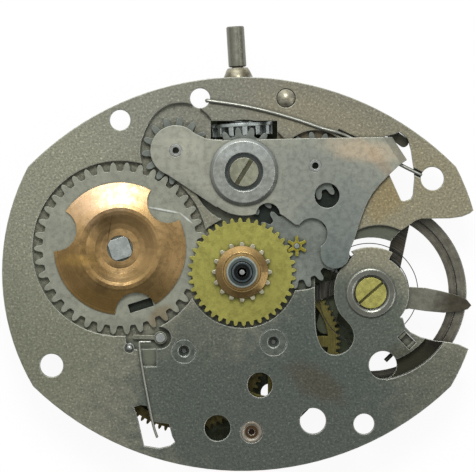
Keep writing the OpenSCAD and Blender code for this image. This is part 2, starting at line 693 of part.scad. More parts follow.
// Steel ring riveted into the bar: its neck turns on the screw's shoulder and carries the winding wheel
module bar_ring() color([0.62, 0.64, 0.67]) at(bar_pivot) difference() {
    union() {
        translate([0, 0, bar_top]) rotate_extrude() polygon([[0.5, 0], [ring_r, 0],
            [ring_r, ring_h - 0.16], [ring_r - 0.2, ring_h], [0.5, ring_h]]);
        translate([0, 0, bar_z]) disc(ring_bore + 0.29, bar_t);
        translate([0, 0, floor_z + 0.03]) disc(hub_neck_r, bar_z - floor_z);
    }
    translate([0, 0, bar_z + 0.05]) disc(ring_bore, 1);
    translate([0, 0, floor_z - over]) disc(bar_neck_r + run, 2);
}

bar_head_z = bar_top + 0.12;
module bar_screw() color([0.72, 0.70, 0.62]) at(bar_pivot, bar_head_z)
    union() {
        slotted_screw(bar_head_r, 0.3, bar_neck_r, bar_head_z - floor_z, 0.28, 0.18, 58);
        translate([0, 0, -(bar_head_z - under - 0.1)]) disc(0.4, 0.55);
    }

// Riveted stud on which a small wheel turns under the bar
module wheel_stud(eye) difference() {
    union() {
        translate([0, 0, bar_z]) disc(tenon_r - 0.01, bar_t + 0.02);
        translate([0, 0, wind_z - 0.03]) disc(0.3, bar_z - wind_z + 0.04);
        translate([0, 0, floor_z + 0.01]) disc(0.55, wind_z - floor_z - 0.03);
    }
    translate([0, 0, floor_z - over]) disc(eye, 2);
}
module intermediate_stud() color([0.70, 0.71, 0.70]) at(intermediate_at) wheel_stud(0.2);
module setting_stud() color([0.70, 0.71, 0.70]) at(setting_at) wheel_stud(0.2);

module intermediate_wheel() color([0.55, 0.57, 0.57]) at(intermediate_at, wind_z)
    winding_blank(small_teeth, intermediate_phase, 0.3 + run);
module setting_wheel() color([0.55, 0.57, 0.57]) at(setting_at, wind_z)
    winding_blank(small_teeth, setting_phase, 0.3 + run);
module winding_wheel() color([0.55, 0.57, 0.57]) at(bar_pivot, wind_z)
    winding_blank(winding_teeth, winding_phase, hub_neck_r + run);

// Wire spring that holds the bar's wheels against the ratchet
spring_wire_r = 0.11;
spring_path = [[-2.1, 10.28], [0, 9.98], [1.7, 9.6], [3.5, 9.07], [4.8, 8.62], [5.9, 8.34]];
spring_dip = [[5.9, 8.34], [7.6, 7.55], [9.5, 6.45], [10.75, 5.82]];
function strip_normal(p, i) =
    let (a = p[max(i - 1, 0)], b = p[min(i + 1, len(p) - 1)], u = (b - a) / norm(b - a)) [-u[1], u[0]];
function strip_edge(p, w) = [for (i = [0:len(p) - 1]) p[i] + strip_normal(p, i) * w];
module strip_2d(p, w) {
    back = strip_edge(p, -w / 2);
    polygon(concat(strip_edge(p, w / 2), [for (i = [len(p) - 1:-1:0]) back[i]]));
}
module bar_spring() color([0.80, 0.81, 0.80]) {
    translate([0, 0, 0.02]) linear_extrude(2 * spring_wire_r) strip_2d(spring_path, 2 * spring_wire_r);
    translate([0, 0, -0.24]) linear_extrude(2 * spring_wire_r) strip_2d(spring_dip, 2 * spring_wire_r);
    at(spring_path[0], -0.9) disc(1.2 * spring_wire_r, 0.92 + 2 * spring_wire_r + 0.01);
    at(spring_dip[0], -0.25) disc(1.1 * spring_wire_r, 0.27 + 2 * spring_wire_r);
}

// Stem and contrate wheel

square_w = 0.72;
groove_at = 4.4;
bush_near = 5.0;
bush_far = 5.72;
stem_journal = 0.48;
module stem() color([0.66, 0.67, 0.62]) {
    on_stem(saddle_near - stem_pull - 0.05) disc(stem_pivot_r, 0.9 + stem_pull);
    on_stem(saddle_far + 0.12) translate([-square_w / 2, -square_w / 2, 0]) cube([square_w, square_w,
        1.4]);
    on_stem(saddle_far + 1.5) disc(stem_journal, groove_at - 0.25 - saddle_far - 1.5);
    on_stem(groove_at - 0.3) disc(0.27, 0.6);
    on_stem(groove_at + 0.25) disc(stem_journal, bush_far - 0.12 - groove_at);
    on_stem(bush_far + 0.1) disc(0.36, 0.6);
    on_stem(bush_far + 0.64) rotate_extrude() polygon([[0, 0], [stem_r - 0.06, 0], [stem_r, 0.06],
        [stem_r, stem_end - bush_far - 0.7], [stem_r - 0.06, stem_end - bush_far - 0.64],
        [0, stem_end - bush_far - 0.64]]);
}

module contrate_wheel() color([0.60, 0.61, 0.60]) difference() {
    union() {
        on_stem(contrate_front) linear_extrude(contrate_back - 0.15 - contrate_front)
            for (i = [0:small_teeth - 1]) let (a = contrate_phase + i * 360 / small_teeth,
                p = 360 / small_teeth) polygon([polar(contrate_r - 0.42, a - 0.19 * p),
                polar(contrate_r - 0.03, a - 0.17 * p), polar(contrate_r - 0.03, a + 0.17 * p),
                polar(contrate_r - 0.42, a + 0.19 * p)]);
        on_stem(contrate_back - 0.2) disc(contrate_r, 0.2);
        on_stem(saddle_far + 0.05) disc(0.72, 1.4);
    }
    on_stem(saddle_far) translate([-square_w / 2 - 0.02, -square_w / 2 - 0.02, -1])
        cube([square_w + 0.04, square_w + 0.04, 4]);
}

// Block at the plate's edge that guides the stem, and its flared bush
block_x = [-2.1, 1.75];
block_y = [11.0, 11.62];
module stem_block() color([0.60, 0.60, 0.56]) difference() {
    translate([block_x[0], block_y[0], bridge_z + 0.3]) cube([block_x[1] - block_x[0],
        block_y[1] - block_y[0], frame_gap - 0.32]);
    translate([-1.2, block_y[0] - over, under - 0.45]) cube([3.2, 0.62, 1]);
    on_stem(bush_near - 0.2) disc(stem_journal + 0.16, 2);
}
module stem_bush() color([0.66, 0.64, 0.56]) difference() {
    union() {
        on_stem(bush_near + 0.1) disc(stem_journal + 0.15, bush_far - bush_near);
        on_stem(bush_far) rotate_extrude() polygon([[0.3, 0], [0.88, 0], [0.84, 0.12],
            [stem_journal + 0.22, 0.44], [stem_journal + 0.12, 0.58], [0.3, 0.6]]);
    }
    on_stem(bush_near - 1) disc(stem_journal + run, 4);
}

// Setting lever under the plate: the stem's groove turns it, and its long arm pushes the bar's tab
lever_pin = [bar_pivot[0] - groove_at * sin(stem_lean), bar_pivot[1] + groove_at * cos(stem_lean)];
lever_tip = [9.72, 7.8];
lever_swing = -stem_pull / norm(lever_pin - lever_axis) * 180 / PI;
echo(lever_swing_deg = lever_swing, pull_mm = stem_pull);
module setting_lever() color([0.38, 0.38, 0.37]) difference() {
    union() {
        translate([0, 0, lever_z]) linear_extrude(lever_t) {
            translate(lever_axis) circle(0.85);
            translate(lever_pin) circle(0.4);
            slot_2d(lever_pin, lever_axis, 0.7);
            slot_2d(lever_axis, lever_tip - [1.0, -0.75], 0.8);
            slot_2d(lever_tip - [1.0, -0.75], lever_tip, 0.6);
        }
        at(lever_pin, stem_z + 0.32) disc(0.16, lever_z - stem_z - 0.3);
    }
    at(lever_axis, lever_z - over) disc(0.4, 1);
}
module setting_lever_axle() color([0.78, 0.78, 0.74]) at(lever_axis) {
    translate([0, 0, under - 0.02]) disc(axle_r, plate_t);
    translate([0, 0, lever_z - 0.1]) disc(0.39, 0.5);
    translate([0, 0, -0.02]) rotate_extrude() intersection() {
        translate([0, -0.55]) circle(0.78);
        translate([0, 0]) square([axle_r, 1]);
    }
}

// Ratchet and barrel

module square_2d(w, corner_r) intersection() {
    square(w, center = true);
    circle(corner_r);
}
square_corner = arbor_square * 0.6;
arbor_turn = 18;

module ratchet_wheel() color([0.56, 0.58, 0.58]) at(ratchet_at, wind_z) difference() {
    linear_extrude(wheel_t) difference() {
        polygon(round_points(ratchet_teeth, wind_m, ratchet_phase));
        rotate(arbor_turn) square_2d(arbor_square + 0.04, square_corner + 0.02);
        translate([1.245, -3.405]) rotate(17.7) square([1.48, 0.53], center = true);
    }
}

// Dished three-lobed spring that presses on the ratchet wheel
module dished_spring() color([0.66, 0.45, 0.28]) at(ratchet_at, wind_top) difference() {
    rotate_extrude($fn = 96) polygon([[0.5, 0.14], [1.2, 0.14], [1.5, 0.19], [1.8, 0.3], [2.05, 0.4],
        [2.25, 0.45], [2.45, 0.46], [2.7, 0.42], [3.1, 0.32], [3.5, 0.21], [3.8, 0.13], [dish_r, 0.1],
        [dish_r, 0.02], [3.8, 0.05], [3.5, 0.13], [3.1, 0.24], [2.7, 0.34], [2.45, 0.38],
        [2.25, 0.37], [2.05, 0.32], [1.8, 0.22], [1.5, 0.11], [1.2, 0.06], [0.5, 0.06]]);
    for (a = [44, 164, 284]) rotate(a) translate([4.02, 0, -1]) disc(1.26, 2);
    translate([0, 0, -1]) disc(square_corner + 0.02, 2);
}

module barrel_arbor() color([0.64, 0.68, 0.72]) at(ratchet_at) {
    translate([0, 0, barrel_z - 0.05]) disc(arbor_r, floor_z + 0.03 - barrel_z);
    translate([0, 0, floor_z - 0.05]) rotate(arbor_turn)
        linear_extrude(wind_top + 0.3 - floor_z) square_2d(arbor_square, square_corner);
    translate([0, 0, bridge_z - 0.6]) disc(0.6, barrel_z - bridge_z + 0.6);
}

drum_wall = 0.22;
drum_r = root_r(barrel_teeth, barrel_m) - 0.15;
gear_h = 0.4;
module barrel_drum() color([0.74, 0.64, 0.36]) at(ratchet_at, barrel_z) difference() {
    union() {
        disc(drum_r, barrel_top - barrel_z - 0.2);
        linear_extrude(gear_h) wheel_2d(barrel_teeth, barrel_m, 0);
    }
    translate([0, 0, drum_wall]) disc(drum_r - drum_wall, 5);
    translate([0, 0, -1]) disc(arbor_r + run, 5);
}
module barrel_lid() color([0.76, 0.66, 0.38]) at(ratchet_at, barrel_top - 0.19) difference() {
    union() {
        disc(drum_r, 0.17);
        translate([0, 0, -0.11]) disc(drum_r - drum_wall - 0.01, 0.13);
    }
    translate([0, 0, -1]) disc(arbor_r + run, 5);
}

// Mainspring: a spiral strip from the arbor's hook to the drum's wall
main_turns = 6;
main_t = 0.12;
main_in = arbor_r + 0.12;
main_out = drum_r - drum_wall - 0.15;
main_pitch = (main_out - main_in) / main_turns;
function main_edge(side) = [for (i = [0:24 * main_turns]) let (t = i / 24)
    polar(main_in + main_pitch * t + side * main_t / 2, 360 * t)];
echo(mainspring_least_gap_mm = main_pitch - main_t);
module mainspring() color([0.35, 0.42, 0.55]) at(ratchet_at, barrel_z + drum_wall + 0.04) {
    inner = main_edge(-1);
    linear_extrude(barrel_top - 0.3 - barrel_z - drum_wall - 0.08)
        polygon(concat(main_edge(1), [for (i = [len(inner) - 1:-1:0]) inner[i]]));
}

// Click: it pivots right of its tooth, and its tail is pressed by the wire spring
click_dir = ratchet_phase - 8.5 * 360 / ratchet_teeth;
nib_w = 0.15;
nib_reach = 0.3;
click_nose = ratchet_at + polar(ratchet_tip - nib_reach + nib_w / 2, click_dir);
click_heel = ratchet_at + polar(ratchet_tip + 0.22, click_dir);
module click() color([0.72, 0.73, 0.70]) difference() {
    union() {
        translate([0, 0, wind_z + 0.05]) linear_extrude(nib_w) slot_2d(click_nose, click_heel, nib_w);
        translate([0, 0, wind_z]) linear_extrude(0.3) {
            slot_2d(click_heel, click_at, 0.26);
            translate(click_at) circle(0.38);
        }
    }
    at(click_at, wind_z - over) disc(click_pin_r - 0.06 + run, 1);
}
module click_pin() color([0.74, 0.73, 0.66]) {
    at(click_at, under + 0.02) disc(click_pin_r - 0.06, plate_t - 0.2);
    at(click_at, wind_z + 0.33) disc(0.28, 0.08);
    at(click_at, wind_z - 0.02) disc(click_pin_r - 0.06, 0.4);
    at(click_stud_at, under) disc(click_pin_r - 0.01, plate_t - 0.28);
    at(click_stud_at, -0.32) disc(0.22, 0.3);
    at(click_stud_at, -0.02) rotate_extrude() intersection() {
        translate([0, -0.05]) circle(0.22);
        square([0.22, 0.4]);
    }
}
click_wire_r = 0.08;
click_wire = [[-5.5, -4.2], [-6.16, -4.2], [-6.1, -5.0], [-5.98, -5.8], [-5.8, -6.8], [-5.58, -7.95],
    [-5.32, -9.2], [-5.1, -9.9]];
module click_spring() color([0.82, 0.83, 0.80]) translate([0, 0, 0.02])
    linear_extrude(2 * click_wire_r) strip_2d(click_wire, 2 * click_wire_r);

// Going train

module second_pinion() color([0.75, 0.76, 0.78]) at(second_at)
    arbor(second_leaves, barrel_m, second_phase, barrel_z - 0.1, barrel_z + gear_h + 0.15, bridge_z,
        under, 0.3, 0.14);
module second_wheel() color([0.76, 0.66, 0.36]) at(second_at, second_z)
    train_wheel(second_teeth, second_m, second_t, 0, 1.3, 0.31);
module minute_drive_wheel() color([0.76, 0.66, 0.36]) at(second_at, drive_z)
    train_wheel(drive_teeth, drive_m, drive_t, 0, 0.9, 0.32, 0.4, 3);

module third_pinion() color([0.75, 0.76, 0.78]) at(third_at)
    arbor(third_leaves, second_m, third_phase, second_z - 0.05, second_z + second_t + 0.08, bridge_z,
        under, 0.25, 0.14);
module third_wheel() color([0.62, 0.50, 0.14]) at(third_at, third_z)
    train_wheel(third_teeth, third_m, third_t, 0, 1.0, 0.26);

hand_tip = 2.9;
module seconds_arbor() color([0.78, 0.79, 0.80]) {
    translate([0, 0, third_z - 0.1]) linear_extrude(third_t + 0.2)
        wheel_2d(fourth_leaves, third_m, fourth_phase, 0.38, 0.14, 0.5);
    translate([0, 0, bridge_z + air]) disc(0.25, 1.6 - bridge_z - air);
    translate([0, 0, 1.59]) cylinder(r1 = 0.25, r2 = seconds_seat_r, h = 0.61);
    translate([0, 0, bridge_z - 0.3]) disc(0.14, 0.5);
    translate([0, 0, 2.19]) disc(seconds_seat_r, hand_tip - 2.19);
}
module fourth_wheel() color([0.76, 0.66, 0.36]) translate([0, 0, fourth_z])
    train_wheel(fourth_teeth, fourth_m, fourth_t, 0, 0.9, 0.26, 0.4);

module escape_pinion() color([0.75, 0.76, 0.78]) at(escape_at)
    arbor(escape_leaves, fourth_m, escape_phase, fourth_z - 0.05, fourth_z + fourth_t + 0.05, bridge_z,
        cock_z, 0.16, 0.1);

// Escape wheel with slanted teeth for pallet pins
escape_turn = 180 + beat_dir + 12;
module escape_wheel() color([0.78, 0.69, 0.40]) at(escape_at, escape_z) difference() {
    linear_extrude(escape_t) difference() {
        polygon([for (i = [0:escape_teeth - 1]) let (a = escape_turn + i * 24) each [
            polar(1.45, a - 7), polar(escape_r - 0.12, a - 3), polar(escape_r, a - 0.5),
            polar(escape_r, a + 0.5), polar(1.75, a + 3.5), polar(1.45, a + 5)]]);
        difference() {
            circle(1.15);
            circle(0.5);
            for (i = [0:3]) rotate(90 * i) translate([0, -0.16]) square([1.2, 0.32]);
        }
    }
    translate([0, 0, -over]) disc(0.17, 1);
}

// Pallet lever: two arms with pins below it, and a forked end that takes the impulse pin
pin_span = 42;
pin_spots = [for (s = [-1, 1]) [norm(pallet_at - escape_at) - (escape_r - 0.02) * cos(pin_span),
    s * (escape_r - 0.02) * sin(pin_span)]];
module on_pallet() at(pallet_at) rotate(beat_dir) children();
module pallet_lever() color([0.76, 0.77, 0.78]) on_pallet() difference() {
    translate([0, 0, pallet_z]) linear_extrude(pallet_t) {
        circle(0.45);
        for (p = pin_spots) slot_2d([0, 0], p, 0.34);
        slot_2d([0, 0], [-1.3, 0], 0.36);
        slot_2d([-1.3, 0], [-1.72, 0.26], 0.2);
        slot_2d([-1.3, 0], [-1.72, -0.26], 0.2);
    }
    translate([0, 0, pallet_z - over]) disc(0.17, 1);
    for (p = pin_spots) at(p, pallet_z - over) disc(0.09, 1);
}
module pallet_pins() color([0.82, 0.83, 0.85]) on_pallet() for (p = pin_spots)
    at(p, escape_z - 0.04) disc(0.08, pallet_z + pallet_t - escape_z + 0.04);
module pallet_arbor() color([0.75, 0.76, 0.78]) at(pallet_at) {
    translate([0, 0, bridge_z + air]) disc(0.16, cock_z - bridge_z - 2 * air);
    translate([0, 0, bridge_z - 0.3]) disc(0.1, cock_z - bridge_z + 0.45);
}

// Motion work

cannon_top = 2.15;
hour_top = 1.5;
hour_z = wind_top + 0.06;
hour_t = 0.15;
date_z = hour_z + hour_t + 0.02;
date_h = 0.42;
pipe_gap = 0.05;
module cannon_pinion() color([0.72, 0.73, 0.72]) difference() {
    union() {
        translate([0, 0, wind_z]) linear_extrude(wheel_t)
            wheel_2d(cannon_teeth, wind_m, cannon_phase, 0.4, 0.16, 0.56);
        translate([0, 0, under + 0.05]) disc(minute_seat_r + 0.17, wind_z - under - 0.05 + over);
        translate([0, 0, drive_z - 0.1]) disc(0.5, under - drive_z + 0.2);
        translate([0, 0, wind_z]) disc(minute_seat_r, 0.9 - wind_z);
        translate([0, 0, 0.8]) disc(minute_seat_r - 0.17, 0.9);
        translate([0, 0, hour_top + 0.05]) disc(minute_seat_r, cannon_top - hour_top - 0.05);
    }
    translate([0, 0, -3]) disc(0.25 + run, 8);
}
module cannon_wheel() color([0.76, 0.66, 0.36]) translate([0, 0, drive_z])
    train_wheel(drive_teeth, drive_m, drive_t, drive_phase, 1.0, 0.51, 0.4, 3);

module minute_stud() color([0.70, 0.71, 0.70]) at(minute_at) {
    translate([0, 0, under + 0.02]) disc(0.24, sink_d);
    translate([0, 0, floor_z]) disc(0.15, hour_z + hour_t - floor_z + 0.2);
}
module minute_wheel() color([0.55, 0.57, 0.57]) at(minute_at, wind_z)
    winding_blank(minute_teeth, minute_phase, 0.27);
module minute_pinion() color([0.78, 0.66, 0.22]) at(minute_at) difference() {
    union() {
        translate([0, 0, wind_top]) linear_extrude(hour_z + hour_t - wind_top + 0.1)
            wheel_2d(minute_leaves, hour_m, minute_leaf_phase, 0.38, 0.26, 0.62);
        translate([0, 0, wind_z]) disc(0.26, wheel_t + over);
    }
    translate([0, 0, floor_z]) disc(0.15 + 0.03, 2);
}

module hour_wheel() color([0.66, 0.63, 0.27]) difference() {
    union() {
        translate([0, 0, hour_z]) linear_extrude(hour_t)
            wheel_2d(hour_teeth, hour_m, hour_phase, 0.42, 0.14, 0.6, hour_add);
        translate([0, 0, hour_z]) disc(hour_seat_r + 0.17, 0.88);
        translate([0, 0, hour_z]) disc(hour_seat_r, hour_top - hour_z);
    }
    translate([0, 0, -1]) disc(minute_seat_r + pipe_gap, 5);
}
module date_pinion() color([0.60, 0.62, 0.62]) translate([0, 0, date_z]) difference() {
    linear_extrude(date_h) polygon([for (i = [0:15]) let (a = i * 22.5) each [
        polar(1.44, a - 6.5), polar(1.72, a - 4), polar(1.8, a - 2), polar(1.8, a + 2),
        polar(1.72, a + 4), polar(1.44, a + 6.5)]]);
    translate([0, 0, -1]) disc(hour_seat_r + 0.18, 3);
}
module dial_washer() color([0.70, 0.55, 0.32]) translate([0, 0, date_z + date_h + 0.02]) difference() {
    cylinder(r1 = 1.58, r2 = 1.2, h = 0.24);
    translate([0, 0, -0.06]) cylinder(r1 = 1.58, r2 = 1.2, h = 0.24);
    translate([0, 0, -1]) disc(hour_seat_r + 0.19, 3);
}

main_plate();
train_bridge();
pillars();
bridge_screws();
train_bushings();
balance_bush();
balance_endpieces();
escapement_bridge();
stem_block();
stem_bush();
bar_screw();
bar_spring();
rocking_bar();
bar_ring();
intermediate_stud();
intermediate_wheel();
setting_stud();
setting_wheel();
winding_wheel();
contrate_wheel();
stem();
setting_lever();
setting_lever_axle();
ratchet_wheel();
dished_spring();
barrel_arbor();
barrel_drum();
barrel_lid();
mainspring();
click();
click_pin();
click_spring();
second_pinion();
second_wheel();
minute_drive_wheel();
third_pinion();
third_wheel();
seconds_arbor();
fourth_wheel();
escape_pinion();
escape_wheel();
pallet_lever();
pallet_arbor();
pallet_pins();
balance_wheel();
balance_staff();
impulse_roller();
hairspring();
hairspring_stud();
hairspring_pin();
regulator_index();
cannon_pinion();
cannon_wheel();
minute_stud();
minute_wheel();
minute_pinion();
hour_wheel();
date_pinion();
dial_washer();
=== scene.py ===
import bpy
import bmesh
import math
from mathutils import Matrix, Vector


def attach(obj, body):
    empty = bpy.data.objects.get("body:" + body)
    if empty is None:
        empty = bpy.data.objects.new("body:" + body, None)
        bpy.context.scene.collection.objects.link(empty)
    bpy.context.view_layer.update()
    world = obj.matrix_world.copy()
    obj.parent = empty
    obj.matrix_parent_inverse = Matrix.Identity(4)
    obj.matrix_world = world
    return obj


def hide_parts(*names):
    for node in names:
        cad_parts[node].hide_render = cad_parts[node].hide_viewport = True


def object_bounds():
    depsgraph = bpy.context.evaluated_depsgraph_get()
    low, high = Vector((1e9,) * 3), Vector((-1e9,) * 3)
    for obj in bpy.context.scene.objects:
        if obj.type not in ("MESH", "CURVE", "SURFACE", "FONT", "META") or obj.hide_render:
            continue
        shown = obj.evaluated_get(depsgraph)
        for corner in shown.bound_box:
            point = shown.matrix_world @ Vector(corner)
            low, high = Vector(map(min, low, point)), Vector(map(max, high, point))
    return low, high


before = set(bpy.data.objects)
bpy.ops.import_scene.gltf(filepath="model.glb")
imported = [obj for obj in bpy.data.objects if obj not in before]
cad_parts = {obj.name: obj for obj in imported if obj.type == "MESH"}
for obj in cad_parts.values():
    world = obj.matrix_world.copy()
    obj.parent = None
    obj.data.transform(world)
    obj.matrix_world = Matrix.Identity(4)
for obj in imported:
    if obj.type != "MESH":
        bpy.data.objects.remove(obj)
cad_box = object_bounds()
MM = 0.001

# Places on the plate, in millimetres
BAR = (0.12, 6.0)
RATCHET = (-7.32, 1.41)
BALANCE = (7.74, -1.26)
SECOND = (-3.48, -4.74)
THIRD = (1.89, -4.2)
INTERMEDIATE = (-3.9, 7.7)
STUD = (9.9, -4.08)
CENTRE = (0.0, 0.0)


def linear(rgb):
    return [((c / 255 + 0.055) / 1.055) ** 2.4 if c > 10 else c / 255 / 12.92 for c in rgb]


class Shader:
    """A node material whose textures are laid out in millimetres of the shared frame."""

    def __init__(self, name):
        self.mat = bpy.data.materials.new(name)
        self.mat.use_nodes = True
        self.nt = self.mat.node_tree
        self.nt.nodes.clear()
        self.out = self.node("ShaderNodeOutputMaterial")
        self.bsdf = self.node("ShaderNodeBsdfPrincipled")
        self.link(self.bsdf.outputs[0], self.out.inputs[0])
        coord = self.node("ShaderNodeTexCoord")
        scale = self.node("ShaderNodeVectorMath", operation="SCALE")
        scale.inputs[3].default_value = 1000.0
        self.link(coord.outputs["Object"], scale.inputs[0])
        self.mm = scale.outputs[0]
        self.bump_end = None

    def node(self, kind, **props):
        n = self.nt.nodes.new(kind)
        for key, value in props.items():
            setattr(n, key, value)
        return n

    def link(self, a, b):
        self.nt.links.new(a, b)

    def put(self, socket, value):
        if isinstance(value, (int, float)):
            socket.default_value = value
        elif isinstance(value, (list, tuple, Vector)):
            missing = [1.0] * (4 - len(value)) if socket.type == "RGBA" else []
            socket.default_value = list(value) + missing
        else:
            self.link(value, socket)

    def math(self, op, a, b=None, clamp=False):
        n = self.node("ShaderNodeMath", operation=op, use_clamp=clamp)
        self.put(n.inputs[0], a)
        if b is not None:
            self.put(n.inputs[1], b)
        return n.outputs[0]

    def vector(self, op, a, b):
        n = self.node("ShaderNodeVectorMath", operation=op)
        self.put(n.inputs[0], a)
        self.put(n.inputs[1], b)
        return n.outputs[1] if op in ("DISTANCE", "DOT_PRODUCT") else n.outputs[0]

    def noise(self, scale, detail=3.0, rough=0.55, vector=None):
        n = self.node("ShaderNodeTexNoise")
        self.put(n.inputs["Vector"], vector or self.mm)
        n.inputs["Scale"].default_value = scale
        n.inputs["Detail"].default_value = detail
        n.inputs["Roughness"].default_value = rough
        return n.outputs[0]

    def span(self, value, low, high, to_low=0.0, to_high=1.0):
        n = self.node("ShaderNodeMapRange", interpolation_type="SMOOTHSTEP")
        self.put(n.inputs[0], value)
        for i, v in enumerate((low, high, to_low, to_high)):
            n.inputs[i + 1].default_value = v
        return n.outputs[0]

    def mix(self, factor, a, b, blend="MIX"):
        n = self.node("ShaderNodeMix", data_type="RGBA", blend_type=blend)
        self.put(n.inputs[0], factor)
        self.put(n.inputs[6], a)
        self.put(n.inputs[7], b)
        return n.outputs[2]

    def spot(self, x, y, r, soft, squeeze=(1, 1), turn=0.0):
        """A soft round or oval patch round a point of the plate: 1 inside, 0 outside."""
        shift = self.vector("SUBTRACT", self.mm, (x, y, 0))
        if turn:
            rot = self.node("ShaderNodeVectorRotate", rotation_type="Z_AXIS")
            self.link(shift, rot.inputs["Vector"])
            rot.inputs["Angle"].default_value = -math.radians(turn)
            shift = rot.outputs[0]
        flat = self.vector("MULTIPLY", shift, (1 / squeeze[0], 1 / squeeze[1], 0))
        length = self.node("ShaderNodeVectorMath", operation="LENGTH")
        self.link(flat, length.inputs[0])
        wobble = self.math("MULTIPLY", self.math("SUBTRACT", self.noise(1.3), 0.5), soft)
        return self.span(self.math("ADD", length.outputs[1], wobble), r - soft / 2, r + soft / 2, 1.0, 0.0)

    def scaled(self, colour, value):
        n = self.node("ShaderNodeVectorMath", operation="SCALE")
        self.put(n.inputs[0], colour)
        self.put(n.inputs[3], value)
        return n.outputs[0]

    def radius(self, centre):
        shift = self.vector("SUBTRACT", self.mm, (centre[0], centre[1], 0))
        flat = self.vector("MULTIPLY", shift, (1, 1, 0))
        length = self.node("ShaderNodeVectorMath", operation="LENGTH")
        self.link(flat, length.inputs[0])
        return length.outputs[1]

    def bump(self, height, strength, distance=0.02):
        n = self.node("ShaderNodeBump")
        n.inputs["Strength"].default_value = strength
        n.inputs["Distance"].default_value = distance * MM
        self.put(n.inputs["Height"], height)
        if self.bump_end is not None:
            self.link(self.bump_end, n.inputs["Normal"])
        self.bump_end = n.outputs[0]

    def finish(self, colour, rough, metallic):
        self.put(self.bsdf.inputs["Base Color"], colour)
        self.put(self.bsdf.inputs["Roughness"], rough)
        self.bsdf.inputs["Metallic"].default_value = metallic
        if self.bump_end is not None:
            self.link(self.bump_end, self.bsdf.inputs["Normal"])
        return self.mat


